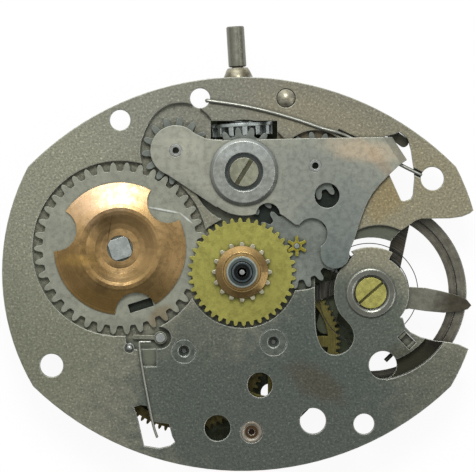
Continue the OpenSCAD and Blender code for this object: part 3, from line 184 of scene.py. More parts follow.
def metal(name, rgb, dark=None, light=None, rough=0.38, metallic=0.85, blotch=0.5, blotch_amt=0.5,
          grain=16.0, grain_amt=0.35, speck=0.0, turned=None, brushed=None, stains_and_painted_light=(), edge=0.35,
          bevel=0.03, bump=0.25, corner_shade=0.0, reach=0.5, recess_shade=None, lines_amt=1.0, recess_shade_spots=(), calm=(),
          cores=(), coat=0.0):
    """Worn metal: patches, stain marks and patches of painted light and shade, grain, bright specks and
    tool marks; edges lightened as wear and painted highlight, recess floors and corners darkened as
    painted shade.
    """
    s = Shader(name)
    base = linear(rgb)
    dark = linear(dark) if dark else [c * 0.55 for c in base]
    light = linear(light) if light else [min(1, c * 1.35 + 0.01) for c in base]
    patches = s.noise(blotch, 4.0, 0.6)
    colour = s.mix(s.span(patches, 0.35, 0.7), s.mix(blotch_amt, base, dark), base)
    # Stain marks, and patches of painted light and shade, laid on by place.
    for x, y, r, soft, tint, amount, squeeze, turn in stains_and_painted_light:
        share = s.math("MULTIPLY", s.spot(x, y, r, soft, squeeze, turn), amount)
        colour = s.mix(share, colour, linear(tint))
    fine = s.noise(grain, 3.0, 0.7)
    colour = s.scaled(colour, s.span(fine, 0.34, 0.64, 1 - 0.6 * grain_amt, 1 + 0.6 * grain_amt))
    if speck:
        dots = s.noise(8.0, 1.0, 0.5)
        colour = s.scaled(colour, s.span(dots, 0.6, 0.7, 1.0, 1 + 1.6 * speck))
        colour = s.scaled(colour, s.span(dots, 0.38, 0.3, 1.0, 1 - 0.6 * speck))
    # Calm places hold back the painted recess shade, and part of the painted corner shade.
    open_part = 1.0
    for centre, near, far in calm:
        open_part = s.math("MINIMUM", open_part, s.span(s.radius(centre), near, far))
    # Recess floors are painted darker below a height: painted shade, set per place by the spots of recess
    # shade.
    if recess_shade:
        top, bottom, tint, amount = recess_shade
        height = s.node("ShaderNodeSeparateXYZ")
        s.link(s.mm, height.inputs[0])
        low = s.span(height.outputs[2], top, bottom)
        tone = linear(tint)
        for x, y, r, soft, tint, amount_here, squeeze, turn in recess_shade_spots:
            share = s.math("MULTIPLY", s.spot(x, y, r, soft, squeeze, turn), amount_here)
            tone = s.mix(share, tone, linear(tint))
        colour = s.mix(s.math("MULTIPLY", s.math("MULTIPLY", low, amount), open_part), colour, tone)
    # Rings of colour round a centre; some of them are painted highlight and painted shade.
    for centre, r, tint in cores:
        colour = s.mix(s.span(s.radius(centre), r, r - 0.02), colour, linear(tint))
    # Edges take the light colour: partly wear, partly painted highlight.
    if bevel:
        bev = s.node("ShaderNodeBevel", samples=4)
        bev.inputs[0].default_value = bevel * MM
        geo = s.node("ShaderNodeNewGeometry")
        edge_wear_and_highlight = s.span(s.vector("DOT_PRODUCT", bev.outputs[0], geo.outputs["Normal"]), 0.985, 0.85)
        colour = s.mix(s.math("MULTIPLY", edge_wear_and_highlight, edge), colour, light)
        s.bump_end = bev.outputs[0]
    # Ambient occlusion darkens corners, crevices and the floor under parts: painted shade.
    if corner_shade:
        ao = s.node("ShaderNodeAmbientOcclusion", samples=6)
        ao.inputs["Distance"].default_value = reach * MM
        corner_shade_share = s.math("MULTIPLY", s.span(ao.outputs[1], 0.85, 0.25), corner_shade)
        if calm:
            corner_shade_share = s.math("MULTIPLY", corner_shade_share, s.math("ADD", s.math("MULTIPLY", open_part, 0.35), 0.65))
        colour = s.mix(corner_shade_share, colour, linear((26, 28, 22)))
    s.bump(fine, bump, 0.01)
    if turned:
        r = s.radius(turned)
        lines = s.node("ShaderNodeTexNoise", noise_dimensions="1D")
        s.put(lines.inputs["W"], s.math("MULTIPLY", r, 14.0))
        lines.inputs["Scale"].default_value = 1.0
        lines.inputs["Detail"].default_value = 3.0
        s.bump(lines.outputs[0], 0.25 * lines_amt, 0.01)
        colour = s.mix(s.math("MULTIPLY", s.span(lines.outputs[0], 0.4, 0.7), 0.12 * lines_amt), colour,
                       light)
    if brushed:
        rot = s.node("ShaderNodeVectorRotate", rotation_type="Z_AXIS")
        s.link(s.mm, rot.inputs["Vector"])
        rot.inputs["Angle"].default_value = -math.radians(brushed)
        lines = s.noise(1.0, 3.0, 0.6, s.vector("MULTIPLY", rot.outputs[0], (0.8, 26.0, 4.0)))
        s.bump(lines, 0.2 * lines_amt, 0.008)
        colour = s.mix(s.math("MULTIPLY", s.span(lines, 0.42, 0.68), 0.1 * lines_amt), colour, light)
    shine = s.span(s.noise(3.0, 3.0), 0.3, 0.7, rough - 0.07, rough + 0.1)
    s.bsdf.inputs["Coat Weight"].default_value = coat
    s.bsdf.inputs["Coat Roughness"].default_value = 0.3
    return s.finish(colour, shine, metallic)


# Each stain mark, patch of painted light and shade, and spot of painted recess shade is: x, y, radius,
# softness, colour, amount, stretch along x and y, turn in degrees
MATS = {
    "plate": metal(
        "frosted_nickel", (111, 110, 96), dark=(93, 94, 83), light=(196, 198, 188), rough=0.44,
        blotch=0.2, blotch_amt=0.3, grain=7.0, grain_amt=0.3, speck=0.34, bump=0.7, corner_shade=0.8,
        metallic=0.85, edge=1.0, bevel=0.09, reach=0.4, recess_shade=(-0.1, -0.3, (78, 81, 70), 1.0),
        # The spots set the painted recess shade: near black in the arc groove, the peep hole and the notch
        # by the bar, browner by the window and lighter by the second wheel.
        calm=((RATCHET, 5.35, 5.6), (INTERMEDIATE, 2.9, 3.1)), recess_shade_spots=(
            (10.6, -5.07, 2.5, 0.6, (40, 40, 29), 1.0, (1.3, 0.7), 37),
            (11.9, -3.9, 0.8, 0.8, (24, 22, 16), 1.0, (1.3, 0.9), 50),
            (1.2, 8.2, 2.6, 1.0, (96, 90, 74), 0.8, (1.8, 0.7), 0),
            (4.4, 8.2, 1.8, 0.8, (104, 96, 78), 0.9, (1.3, 0.6), 0),
            (-5.6, -4.4, 1.4, 0.6, (92, 96, 84), 0.9, (1.3, 1.3), 0),
            (5.1, 4.59, 1.2, 0.3, (28, 33, 28), 1.0, (1.0, 1.0), 0),
            (1.9, 3.7, 1.1, 0.4, (32, 38, 34), 1.0, (1.2, 0.8), 20)),
        # The large dark patches towards the bottom and the lower right are painted shade, the pale patch
        # at the upper left is painted light, and the small black disc under the ratchet's hook hole is
        # painted shade.
        stains_and_painted_light=(
            (-11.5, -3.0, 5.0, 5.0, (95, 97, 82), 0.7, (0.8, 1.2), 0),
            (-1.0, 11.6, 6.5, 3.5, (101, 101, 92), 0.6, (1.6, 0.6), 0),
            (6.5, 8.4, 4.0, 3.0, (104, 101, 87), 0.7, (1.5, 0.8), -30),
            (2.5, -9.5, 7.0, 6.0, (65, 71, 66), 0.92, (1.35, 0.85), -6),
            (5.6, -4.0, 3.6, 3.0, (66, 73, 68), 0.9, (1.3, 1.0), -20),
            (7.5, -2.5, 2.6, 1.6, (74, 79, 71), 0.85, (1.0, 1.0), 0),
            (9.9, 4.4, 3.4, 3.0, (126, 118, 92), 0.45, (1.6, 1.0), 15),
            (-6.2, 9.0, 2.0, 2.2, (112, 114, 102), 0.5, (1.6, 0.8), 28),
            (4.9, 9.0, 2.2, 1.8, (116, 111, 93), 0.5, (1.8, 0.6), -18),
            (8.6, 4.4, 1.2, 1.0, (120, 102, 60), 0.4, (1.2, 0.8), 60),
            (-11.0, 4.5, 3.6, 4.0, (120, 121, 105), 0.5, (1.0, 1.8), 0),
            (12.0, -7.0, 2.2, 2.2, (76, 79, 70), 0.7, (1.4, 1.0), 40),
            (4.4, -6.6, 1.0, 1.2, (66, 54, 36), 0.45, (1.7, 0.8), 150),
            (9.4, -5.4, 1.0, 0.9, (56, 54, 41), 0.6, (1.6, 0.9), 25),
            (-3.6, -7.2, 2.8, 2.4, (70, 76, 69), 0.85, (0.9, 1.2), 20),
            (-2.4, -3.6, 1.8, 1.6, (74, 78, 70), 0.7, (1.2, 1.0), 0),
            (-6.08, -1.99, 0.85, 0.1, (34, 38, 32), 1.0, (1.0, 1.0), 0))),
    # The darker lower right arm and the paler upper left corner are painted shade and painted light; the
    # warm streaks at the right end are stain marks.
    "bar": metal(
        "rocking_bar_steel", (131, 132, 119), dark=(119, 121, 110), light=(192, 195, 186), rough=0.36,
        blotch=0.12, blotch_amt=0.25, grain=12.0, grain_amt=0.08, bump=0.05, brushed=12, metallic=0.8,
        edge=0.9, bevel=0.06, corner_shade=0.6, reach=0.35, lines_amt=0.22, stains_and_painted_light=(
            (6.0, 1.4, 2.6, 3.6, (80, 89, 87), 0.95, (1.0, 1.2), 0),
            (5.6, 4.6, 3.0, 3.2, (106, 111, 105), 0.7, (1.5, 1.0), -30),
            (-2.6, 4.4, 0.7, 0.9, (104, 106, 97), 0.7, (3.6, 0.7), -32),
            (-3.6, 7.6, 0.8, 1.0, (146, 146, 132), 0.6, (1.4, 0.8), -10),
            (7.2, 7.3, 1.2, 1.4, (196, 168, 132), 0.32, (1.7, 0.5), -8),
            (8.4, 6.5, 0.6, 1.0, (150, 116, 84), 0.25, (1.9, 0.5), -50))),
    # The pale patch at the ring's top is a painted highlight, and below 0.6 mm the ring is painted dark
    # round the screw: painted shade.
    "ring": metal(
        "bush_ring_steel", (138, 141, 133), dark=(112, 115, 110), light=(206, 211, 208), rough=0.24,
        turned=BAR, bump=0.03, grain_amt=0.05, blotch_amt=0.3, edge=0.9, bevel=0.08, lines_amt=0.3,
        stains_and_painted_light=(
            (0.12, 7.2, 1.1, 0.9, (160, 165, 162), 0.7, (1.7, 0.6), 0),),
        recess_shade=(0.6, 0.3, (46, 52, 50), 0.9)),
    # Below the top of the head the screw is painted darker, in the slot and down its sides: painted shade.
    "screw": metal(
        "pale_screw_steel", (146, 147, 128), dark=(96, 96, 78), light=(206, 204, 182), rough=0.22,
        grain_amt=0.12, bump=0.08, edge=0.9, corner_shade=0.85, reach=0.3, bevel=0.05,
        recess_shade=(0.41, 0.3, (88, 86, 66), 0.9)),
    "bush": metal(
        "stem_bush_nickel", (150, 146, 126), dark=(86, 80, 62), light=(224, 218, 196), rough=0.24,
        blotch=1.1, blotch_amt=0.9, grain=5.0, grain_amt=0.3, bump=0.5, edge=0.8, corner_shade=0.6),
    "wheel": metal(
        "winding_steel", (107, 112, 105), dark=(80, 85, 80), light=(176, 182, 178), rough=0.36,
        grain=12.0, grain_amt=0.16, bump=0.12, edge=0.8, metallic=0.8, corner_shade=0.6, bevel=0.04),
    # The darker band along the ratchet's lower edge is painted shade; the brown patch and the thin crack
    # lines are marks on the wheel.
    "ratchet": metal(
        "ratchet_steel", (127, 129, 115), dark=(105, 108, 98), light=(192, 196, 188), rough=0.36,
        grain=12.0, grain_amt=0.12, bump=0.1, edge=0.8, metallic=0.8, corner_shade=0.6, bevel=0.04,
        reach=0.3, stains_and_painted_light=(
            (-7.4, -4.0, 2.0, 1.2, (104, 106, 94), 0.6, (2.2, 0.6), 0),
            (-4.9, -2.7, 0.7, 0.6, (108, 96, 72), 0.7, (1.3, 0.8), 40),
            (-4.68, 3.72, 0.05, 0.04, (182, 186, 180), 0.8, (19.0, 1.0), -10.6),
            (-3.36, 3.24, 0.05, 0.04, (182, 186, 180), 0.7, (9.0, 1.0), -40),
            (-4.7, 3.63, 0.04, 0.03, (84, 88, 82), 0.6, (20.0, 1.0), -10.6))),
    # Most patches on the spring are painted light: darker towards the bottom, the left, the lower right
    # and in the bowl as painted shade, pale at the top and upper left as painted highlight; the thin dark
    # line is a scratch.
    "copper": metal(
        "spring_copper", (143, 117, 77), dark=(118, 93, 53), light=(226, 204, 170), rough=0.31,
        blotch=0.6, blotch_amt=0.3, grain=9.0, grain_amt=0.1, bump=0.05, turned=RATCHET, edge=0.6,
        metallic=0.95, lines_amt=0.35, coat=0.08, stains_and_painted_light=(
            (-7.4, -2.2, 2.4, 1.6, (112, 88, 44), 0.8, (1.6, 0.7), 0),
            (-7.3, -0.35, 1.05, 0.9, (74, 58, 32), 0.95, (1.9, 0.8), 0),
            (-9.9, 0.6, 1.3, 1.2, (112, 88, 48), 0.7, (1.3, 1.1), 0),
            (-9.9, 0.7, 0.5, 0.6, (172, 138, 72), 0.4, (1.9, 0.6), 0),
            (-8.4, 2.6, 0.8, 0.9, (78, 62, 36), 0.6, (1.0, 1.0), 0),
            (-7.6, 4.6, 1.0, 1.4, (166, 144, 120), 0.6, (1.8, 0.8), 4),
            (-9.6, 3.9, 0.9, 1.4, (160, 134, 106), 0.6, (1.0, 1.0), 0),
            (-5.3, -0.6, 1.2, 1.2, (108, 86, 50), 0.5, (1.0, 1.4), 30),
            (-5.1, -1.6, 1.3, 1.2, (96, 78, 44), 0.6, (1.0, 1.3), 40),
            (-7.95, 2.52, 0.03, 0.04, (48, 36, 20), 0.9, (1.0, 18.0), -9.5))),
    "arbor": metal(
        "blued_arbor", (150, 156, 152), dark=(122, 130, 128), light=(214, 218, 214), rough=0.25,
        grain_amt=0.12, bump=0.06, edge=0.9, bevel=0.05, corner_shade=0.5),
    # The darker patch towards the lower right is painted shade, and the pale ring between 0.95 and 0.84 mm
    # round the centre is a painted highlight.
    "hour": metal(
        "hour_brass", (135, 132, 66), dark=(112, 108, 50), light=(200, 196, 128), rough=0.34,
        blotch_amt=0.25, grain=12.0, grain_amt=0.1, bump=0.08, turned=CENTRE, edge=0.5, metallic=0.8,
        corner_shade=0.8,
        reach=0.3, lines_amt=0.3, stains_and_painted_light=(
            (1.6, -1.4, 2.4, 2.4, (122, 119, 58), 0.6, (1.2, 1.0), -40),),
        cores=(
            (CENTRE, 1.16, (140, 114, 70)), (CENTRE, 0.95, (130, 137, 132)),
            (CENTRE, 0.84, (68, 78, 78)), (CENTRE, 0.66, (112, 122, 120)))),
    # The black centre is painted shade in the bore.
    "black": metal(
        "cannon_oxide", (70, 80, 82), dark=(40, 46, 48), light=(150, 158, 158), rough=0.26,
        grain_amt=0.1, edge=0.6, bevel=0.05, corner_shade=0.6, cores=((CENTRE, 0.5, (17, 19, 18)),)),
    "date": metal(
        "date_pinion_steel", (166, 162, 138), dark=(96, 92, 74), light=(232, 230, 214), rough=0.22,
        grain_amt=0.15, edge=0.9, corner_shade=0.9, reach=0.35, bevel=0.05),
    "bronze": metal(
        "washer_bronze", (150, 124, 78), dark=(96, 74, 40), light=(224, 202, 158), rough=0.24,
        turned=CENTRE, edge=0.7, corner_shade=0.4, lines_amt=0.5),
    "gold": metal(
        "pinion_brass", (150, 144, 56), dark=(100, 90, 28), light=(236, 226, 140), rough=0.25,
        grain_amt=0.2, edge=0.9, corner_shade=0.8, reach=0.25),
    "endpiece": metal(
        "endpiece_brass", (156, 152, 84), dark=(122, 118, 58), light=(216, 212, 146), rough=0.28,
        grain_amt=0.2, bump=0.12, edge=0.7, brushed=41, corner_shade=0.9, reach=0.25),
    "brass": metal(
        "train_brass", (96, 88, 52), dark=(62, 56, 32), light=(150, 140, 92), rough=0.36,
        grain=10.0, grain_amt=0.25, bump=0.15, edge=0.4, corner_shade=0.7, reach=0.8),
    # The third wheel's brass and the bridges' brass are coloured dark for brass lying in shade below the
    # plate: painted shade.
    "dark_brass": metal(
        "third_wheel_brass", (92, 86, 44), dark=(56, 52, 26), light=(168, 156, 88), rough=0.34,
        grain=10.0, grain_amt=0.25, bump=0.15, edge=0.7, turned=THIRD, corner_shade=0.6, reach=1.2),
    "bridge": metal(
        "bridge_brass", (70, 75, 58), dark=(52, 57, 43), light=(104, 108, 88), rough=0.42,
        blotch=0.2, grain=10.0, grain_amt=0.25, bump=0.25, brushed=35, edge=0.35, corner_shade=0.6,
        reach=1.0),
    "plug": metal(
        "nickelled_bushing", (88, 93, 86), dark=(64, 69, 62), light=(206, 210, 202), rough=0.3,
        grain=10.0, grain_amt=0.25, bump=0.25, edge=1.0, corner_shade=0.6, reach=0.3, bevel=0.1),
    # The dark brown disc on one pillar is painted shade in its hole.
    "pillar": metal(
        "pillar_steel", (138, 130, 116), dark=(84, 76, 60), light=(214, 214, 204), rough=0.3,
        grain_amt=0.2, edge=1.0, corner_shade=0.5, bevel=0.08, cores=(((0.57, -9.6), 0.4, (64, 48, 30)),)),
    "dome": metal(
        "dome_steel", (158, 156, 140), dark=(110, 106, 88), light=(190, 190, 178), rough=0.34,
        blotch=2.0, blotch_amt=0.8, grain=7.0, grain_amt=0.25, bump=0.3, edge=0.8, corner_shade=0.8,
        reach=0.3),
    "boss": metal(
        "balance_bush_steel", (110, 112, 102), dark=(78, 80, 72), light=(214, 216, 210), rough=0.16,
        turned=BALANCE, grain_amt=0.1, edge=1.0, corner_shade=0.3, bevel=0.1, lines_amt=0.6),
    "index": metal(
        "index_steel", (104, 104, 93), dark=(88, 86, 76), light=(158, 156, 142), rough=0.34,
        grain=10.0, grain_amt=0.14, bump=0.1, edge=0.8, lines_amt=0.0, bevel=0.05,
        stains_and_painted_light=((13.2, -2.1, 1.4, 1.4, (54, 49, 39), 0.9, (1.0, 1.0), 0),)),
    # Below -1.53 mm the balance is painted dark and its corner shade reaches 1.6 mm: painted shade under
    # the plate.
    "balance": metal(
        "balance_nickel", (98, 96, 85), dark=(66, 62, 50), light=(206, 204, 192), rough=0.28,
        turned=BALANCE, grain_amt=0.1, edge=0.9, metallic=0.85, lines_amt=0.6, bevel=0.04,
        corner_shade=0.9, reach=1.6, recess_shade=(-1.53, -1.58, (44, 38, 28), 0.8)),
    "steel": metal(
        "polished_steel", (150, 153, 148), dark=(104, 108, 106), light=(226, 228, 224), rough=0.24,
        grain_amt=0.14, bump=0.08, edge=0.7, corner_shade=0.6, reach=0.3),
    # The contrate wheel is coloured paler than the other steel to stand in for light in the dim window:
    # painted light.
    "contrate": metal(
        "contrate_steel", (172, 180, 176), dark=(120, 128, 126), light=(232, 238, 234), rough=0.26,
        grain_amt=0.14, bump=0.08, edge=1.0, corner_shade=0.4, reach=0.25, bevel=0.07),
    "stem": metal(
        "stem_steel", (121, 120, 108), dark=(88, 89, 80), light=(200, 198, 182), rough=0.28,
        blotch_amt=0.2, grain=9.0, grain_amt=0.06, bump=0.04, brushed=93.5, edge=0.4, lines_amt=0.5,
        corner_shade=0.35, reach=0.8),
    "dark": metal(
        "setting_lever_steel", (72, 72, 61), dark=(48, 48, 40), light=(126, 124, 110), rough=0.36,
        grain_amt=0.15, edge=0.5, bevel=0.05),
    "click": metal(
        "click_steel", (104, 106, 94), dark=(76, 76, 64), light=(206, 204, 188), rough=0.34,
        grain=7.0, grain_amt=0.3, bump=0.3, edge=0.9, corner_shade=0.8, reach=0.3, bevel=0.05),
    "wire": metal(
        "bright_wire", (138, 139, 130), dark=(110, 112, 106), light=(216, 216, 208), rough=0.34,
        blotch_amt=0.15, grain=8.0, grain_amt=0.04, bump=0.01, bevel=0, metallic=0.8),
    "blued": metal(
        "blued_spring", (72, 74, 76), dark=(44, 46, 50), light=(150, 154, 160), rough=0.28,
        grain=8.0, grain_amt=0.12, bump=0.04, bevel=0, metallic=0.85),
}

USE = {
    "main_plate": "plate", "train_bridge": "bridge", "pillars": "pillar", "bridge_screws": "steel",
    "train_bushings": "plug", "balance_bush": "boss", "balance_endpieces": "endpiece",
    "escapement_bridge": "bridge", "stem_block": "plug", "stem_bush": "bush", "bar_screw": "screw",
    "rocking_bar": "bar", "bar_ring": "ring", "intermediate_stud": "steel", "intermediate_wheel": "wheel",
    "setting_stud": "steel", "setting_wheel": "wheel", "winding_wheel": "wheel",
    "contrate_wheel": "contrate", "stem": "stem", "setting_lever": "dark", "setting_lever_axle": "dome",
    "ratchet_wheel": "ratchet", "dished_spring": "copper", "barrel_arbor": "arbor",
    "barrel_drum": "brass", "barrel_lid": "brass", "click": "click", "click_pin": "steel",
    "second_pinion": "steel", "second_wheel": "brass", "minute_drive_wheel": "brass",
    "third_pinion": "steel", "third_wheel": "dark_brass", "seconds_arbor": "steel",
    "fourth_wheel": "brass", "escape_pinion": "steel", "escape_wheel": "brass",
    "pallet_lever": "steel", "pallet_arbor": "steel", "pallet_pins": "steel",
    "balance_wheel": "balance", "balance_staff": "steel", "impulse_roller": "steel",
    "hairspring_stud": "click", "hairspring_pin": "dark", "regulator_index": "index",
    "cannon_pinion": "black",
    "cannon_wheel": "brass", "minute_stud": "steel", "minute_wheel": "wheel", "minute_pinion": "gold",
    "hour_wheel": "hour", "date_pinion": "date", "dial_washer": "bronze",
}
for node, mat in USE.items():
    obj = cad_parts[node]
    obj.data.materials.clear()
    obj.data.materials.append(MATS[mat])


def mesh_piece(name, verts, faces, mat, smooth=True):
    data = bpy.data.meshes.new(name)
    data.from_pydata([tuple(c * MM for c in v) for v in verts], [], faces)
    data.materials.append(MATS[mat])
    obj = bpy.data.objects.new(name, data)
    bpy.context.scene.collection.objects.link(obj)
    bm = bmesh.new()
    bm.from_mesh(data)
    bmesh.ops.recalc_face_normals(bm, faces=bm.faces)
    bm.to_mesh(data)
    bm.free()
    for p in data.polygons:
        p.use_smooth = smooth
    return obj


def smooth_path(points, steps=10):
    """Catmull-Rom points through a list of places."""
    pts = [Vector(p) for p in points]
    pts = [2 * pts[0] - pts[1]] + pts + [2 * pts[-1] - pts[-2]]
    out = []
    for i in range(1, len(pts) - 2):
        a, b, c, d = pts[i - 1:i + 3]
        for k in range(steps):
            t = k / steps
            out.append(0.5 * (2 * b + (c - a) * t + (2 * a - 5 * b + 4 * c - d) * t * t
                              + (3 * b - a - 3 * c + d) * t ** 3))
    out.append(pts[-2])
    return out


def wire(name, points, r, mat, sides=12, steps=10):
    """Round drawn wire along a smooth path, with rounded ends."""
    path = smooth_path(points, steps)
    verts, faces = [], []
    rings = []
    up = Vector((0, 0, 1))
    for i, p in enumerate(path):
        t = (path[min(i + 1, len(path) - 1)] - path[max(i - 1, 0)]).normalized()
        side = t.cross(up)
        side = side.normalized() if side.length > 1e-3 else Vector((1, 0, 0))
        top = side.cross(t).normalized()
        rings.append((p, t, side, top))
    shells = [(rings[0], -0.8, 0.6), (rings[0], -0.5, 0.87)] + [(g, 0, 1) for g in rings]
    shells += [(rings[-1], 0.5, 0.87), (rings[-1], 0.8, 0.6)]
    for (p, t, side, top), along, part in shells:
        for k in range(sides):
            a = 2 * math.pi * k / sides
            verts.append(p + t * along * r + (side * math.cos(a) + top * math.sin(a)) * r * part)
    n = len(shells)
    for i in range(n - 1):
        for k in range(sides):
            j = (k + 1) % sides
            faces.append((i * sides + k, i * sides + j, (i + 1) * sides + j, (i + 1) * sides + k))
    faces.append(tuple(range(sides)))
    faces.append(tuple((n - 1) * sides + k for k in range(sides)))
    return mesh_piece(name, verts, faces, mat)


def ribbon(name, centre, r_in, r_out, turns, start_deg, thick, z0, z1, mat, per_turn=96):
    """Flat spiral strip with a slightly rounded edge."""
    verts, faces = [], []
    n = int(per_turn * turns)
    edge = (z1 - z0) * 0.12
    prof = [(-thick / 2, z0 + edge), (-thick / 4, z0), (thick / 4, z0), (thick / 2, z0 + edge),
            (thick / 2, z1 - edge), (thick / 4, z1), (-thick / 4, z1), (-thick / 2, z1 - edge)]
    for i in range(n + 1):
        t = i / per_turn
        a = math.radians(start_deg) + 2 * math.pi * t
        r = r_in + (r_out - r_in) * t / turns
        for dr, z in prof:
            verts.append((centre[0] + (r + dr) * math.cos(a), centre[1] + (r + dr) * math.sin(a), z))
    m = len(prof)
    for i in range(n):
        for k in range(m):
            j = (k + 1) % m
            faces.append((i * m + k, i * m + j, (i + 1) * m + j, (i + 1) * m + k))
    faces.append(tuple(range(m)))
    faces.append(tuple(n * m + k for k in range(m)))
    return mesh_piece(name, verts, faces, mat)


def lathe(name, centre, profile, mat, steps=48):
    """A closed profile of radii and heights, turned round an upright axis."""
    verts, faces = [], []
    m = len(profile)
    for i in range(steps):
        a = 2 * math.pi * i / steps
        for r, z in profile:
            verts.append((centre[0] + r * math.cos(a), centre[1] + r * math.sin(a), z))
    for i in range(steps):
        i2 = (i + 1) % steps
        for k in range(m):
            j = (k + 1) % m
            faces.append((i * m + k, i * m + j, i2 * m + j, i2 * m + k))
    return mesh_piece(name, verts, faces, mat, False)


# The bar's wire spring: hooked into its hole, over the plate, then down under the bar
spring = wire("bar_spring_wire", [
    (-2.1, 10.28, -0.85), (-2.1, 10.28, -0.35), (-2.08, 10.28, 0.02), (-1.9, 10.26, 0.13),
    (0.0, 9.98, 0.13), (1.7, 9.6, 0.13), (3.5, 9.07, 0.13), (4.8, 8.62, 0.13), (5.65, 8.4, 0.11),
    (6.1, 8.25, -0.09), (6.6, 8.02, -0.13), (7.6, 7.55, -0.13), (9.5, 6.45, -0.13),
    (10.72, 5.84, -0.13)], 0.11, "wire")
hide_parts("bar_spring")
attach(spring, "frame")

click_wire = wire("click_spring_wire", [
    (-5.5, -4.2, 0.1), (-5.85, -4.2, 0.1), (-6.1, -4.21, 0.1), (-6.16, -4.32, 0.1), (-6.1, -5.0, 0.1),
    (-5.98, -5.8, 0.1), (-5.8, -6.8, 0.1), (-5.58, -7.95, 0.1), (-5.32, -9.2, 0.1),
    (-5.1, -9.88, 0.1)], 0.08, "wire", 10)
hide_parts("click_spring")
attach(click_wire, "frame")

# The hairspring's outer end stands at its stud
HAIR_OUT = math.hypot(STUD[0] - BALANCE[0], STUD[1] - BALANCE[1]) - 0.25
HAIR_DIR = math.degrees(math.atan2(STUD[1] - BALANCE[1], STUD[0] - BALANCE[0]))
hair = ribbon("hairspring_spiral", BALANCE, 0.62, HAIR_OUT, 5, HAIR_DIR, 0.05, -1.42, -1.3, "blued")
ring = lathe("hairspring_collet", BALANCE, (
    (0.31, -1.44), (0.56, -1.44), (0.61, -1.41), (0.61, -1.31), (0.56, -1.28), (0.31, -1.28)), "steel")
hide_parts("hairspring")
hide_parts("hairspring")
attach(hair, "balance")
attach(ring, "balance")

# The mainspring fills the drum, whose size follows from the mesh of 72 and 12 teeth
BARREL_TEETH = 72
SECOND_LEAVES = 12
BARREL_M = 2 * math.dist(SECOND, RATCHET) / (BARREL_TEETH + SECOND_LEAVES)
DRUM_R = BARREL_TEETH / 2 * BARREL_M - 1.12 * BARREL_M - 0.15
main = ribbon("mainspring_spiral", RATCHET, 1.27, DRUM_R - 0.37, 6, 0, 0.12, -2.64, -1.73, "blued")
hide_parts("mainspring")
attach(main, "barrel")


def cut_copy(name, node, outline, low_z, high_z):
    """A copy of a solid with an upright prism taken out of it."""
    whole = bpy.data.objects.new(name + "_whole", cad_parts[node].data.copy())
    bpy.context.scene.collection.objects.link(whole)
    n = len(outline)
    verts = [(x, y, z) for z in (low_z, high_z) for x, y in outline]
    faces = [tuple(range(n)), tuple(range(n, 2 * n))]
    faces += [(i, (i + 1) % n, n + (i + 1) % n, n + i) for i in range(n)]
    cutter = mesh_piece(name + "_cutter", verts, faces, USE[node], False)
    cut = whole.modifiers.new("cut", "BOOLEAN")
    cut.operation = "DIFFERENCE"
    cut.solver = "EXACT"
    cut.object = cutter
    data = bpy.data.meshes.new_from_object(whole.evaluated_get(bpy.context.evaluated_depsgraph_get()))
    bpy.data.objects.remove(whole)
    bpy.data.objects.remove(cutter)
    piece = bpy.data.objects.new(name, data)
    bpy.context.scene.collection.objects.link(piece)
    return piece


# The rocking bar's upper edge runs straight past its pivot ring, so the plate's window stays open
bar_body = cut_copy("rocking_bar_body", "rocking_bar", [
    (-1.72, 7.948), (-1.2, 7.883), (2.1, 7.975), (2.1, 9.0), (-1.72, 9.0)], -1.0, 2.0)
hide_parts("rocking_bar")
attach(bar_body, "bar")

# Floor, light and camera
bpy.context.scene.view_settings.view_transform = "Standard"
FLOOR_HALF = 0.6
FLOOR_GAP = 0.00002
SHOWN_WHITE = 0.93


def white_floor():
    """White to the camera and in reflections, plain for the light, and clear from below."""
    mat = bpy.data.materials.new("white_floor")
    mat.use_nodes = True
    nt = mat.node_tree
    nt.nodes.clear()
    out = nt.nodes.new("ShaderNodeOutputMaterial")
    diffuse = nt.nodes.new("ShaderNodeBsdfDiffuse")
    diffuse.inputs[0].default_value = (0.8, 0.8, 0.8, 1)
    glow = nt.nodes.new("ShaderNodeEmission")
    glow.inputs[0].default_value = (1, 1, 1, 1)
    rays = nt.nodes.new("ShaderNodeLightPath")
    mirrored = nt.nodes.new("ShaderNodeMath")
    mirrored.operation = "MAXIMUM"
    nt.links.new(rays.outputs["Is Glossy Ray"], mirrored.inputs[0])
    nt.links.new(rays.outputs["Is Transmission Ray"], mirrored.inputs[1])
    any_view = nt.nodes.new("ShaderNodeMath")
    any_view.operation = "MAXIMUM"
    nt.links.new(rays.outputs["Is Camera Ray"], any_view.inputs[0])
    nt.links.new(mirrored.outputs[0], any_view.inputs[1])
    seen = nt.nodes.new("ShaderNodeMath")
    seen.operation = "MULTIPLY"
    seen.inputs[1].default_value = SHOWN_WHITE
    nt.links.new(any_view.outputs[0], seen.inputs[0])
    front = nt.nodes.new("ShaderNodeMixShader")
    nt.links.new(seen.outputs[0], front.inputs[0])
    nt.links.new(diffuse.outputs[0], front.inputs[1])
    nt.links.new(glow.outputs[0], front.inputs[2])
    clear = nt.nodes.new("ShaderNodeBsdfTransparent")
    side = nt.nodes.new("ShaderNodeNewGeometry")
    both_sides = nt.nodes.new("ShaderNodeMixShader")
    nt.links.new(side.outputs["Backfacing"], both_sides.inputs[0])
    nt.links.new(front.outputs[0], both_sides.inputs[1])
    nt.links.new(clear.outputs[0], both_sides.inputs[2])
    nt.links.new(both_sides.outputs[0], out.inputs[0])
    return mat


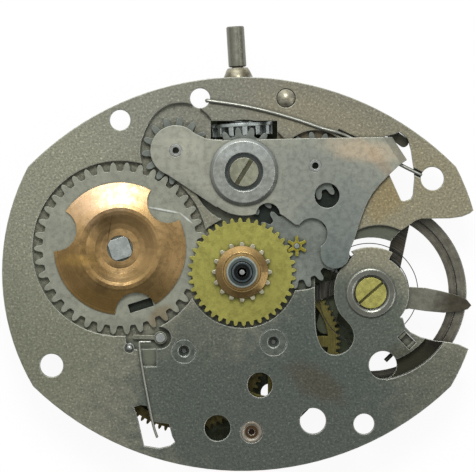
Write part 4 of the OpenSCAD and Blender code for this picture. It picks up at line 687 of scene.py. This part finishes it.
floor_z = cad_box[0][2] - FLOOR_GAP
floor_mesh = bpy.data.meshes.new("floor")
floor_mesh.from_pydata([
    (-FLOOR_HALF, -FLOOR_HALF, floor_z), (FLOOR_HALF, -FLOOR_HALF, floor_z),
    (FLOOR_HALF, FLOOR_HALF, floor_z), (-FLOOR_HALF, FLOOR_HALF, floor_z)], [], [(0, 1, 2, 3)])
floor_mesh.materials.append(white_floor())
floor = bpy.data.objects.new("floor", floor_mesh)
bpy.context.scene.collection.objects.link(floor)

# The sky brightens towards one side above, slowly at first and then fast
BRIGHT_SIDE = (-0.22, 0.74, 0.63)
SLOW_RISE = (-0.4, 0.66, 0.13, 0.73)
FAST_RISE = (0.66, 1.0, 0.0, 1.5)
world = bpy.data.worlds.new("studio")
bpy.context.scene.world = world
world.use_nodes = True
wnt = world.node_tree
wnt.nodes.clear()
world_out = wnt.nodes.new("ShaderNodeOutputWorld")
sky = wnt.nodes.new("ShaderNodeBackground")
sky.inputs[0].default_value = (1, 1, 1, 1)
sky_coord = wnt.nodes.new("ShaderNodeTexCoord")
toward = wnt.nodes.new("ShaderNodeVectorMath")
toward.operation = "DOT_PRODUCT"
toward.inputs[1].default_value = BRIGHT_SIDE
wnt.links.new(sky_coord.outputs["Generated"], toward.inputs[0])
total = wnt.nodes.new("ShaderNodeMath")
total.operation = "ADD"
for row, limits in enumerate((SLOW_RISE, FAST_RISE)):
    rise = wnt.nodes.new("ShaderNodeMapRange")
    for i, v in enumerate(limits):
        rise.inputs[i + 1].default_value = v
    wnt.links.new(toward.outputs["Value"], rise.inputs[0])
    wnt.links.new(rise.outputs[0], total.inputs[row])
wnt.links.new(total.outputs[0], sky.inputs[1])
wnt.links.new(sky.outputs[0], world_out.inputs[0])


def lamp(name, where, power, size):
    """A square lamp that looks at the middle of the plate."""
    light = bpy.data.lights.new(name, "AREA")
    light.energy = power
    light.size = size
    obj = bpy.data.objects.new(name, light)
    bpy.context.scene.collection.objects.link(obj)
    obj.location = where
    obj.rotation_euler = (-Vector(where)).to_track_quat("-Z", "Y").to_euler()


lamp("key", (-0.01, 0.175, 0.325), 0.7, 0.11)
lamp("fill", (0.24, -0.08, 0.20), 0.25, 0.2)

cam_data = bpy.data.cameras.new("camera")
camera = bpy.data.objects.new("camera", cam_data)
bpy.context.scene.collection.objects.link(camera)
DIST = 0.4
SENSOR = 36
PICTURE_WIDTH = 476
PIXEL_MM = 0.06
camera.location = (-0.24 * MM, 2.16 * MM, DIST)
camera.rotation_euler = (0, 0, 0)
cam_data.sensor_width = SENSOR
cam_data.lens = SENSOR * DIST / (PICTURE_WIDTH * PIXEL_MM * MM)
cam_data.clip_start = 0.01
cam_data.clip_end = 10
bpy.context.scene.camera = camera
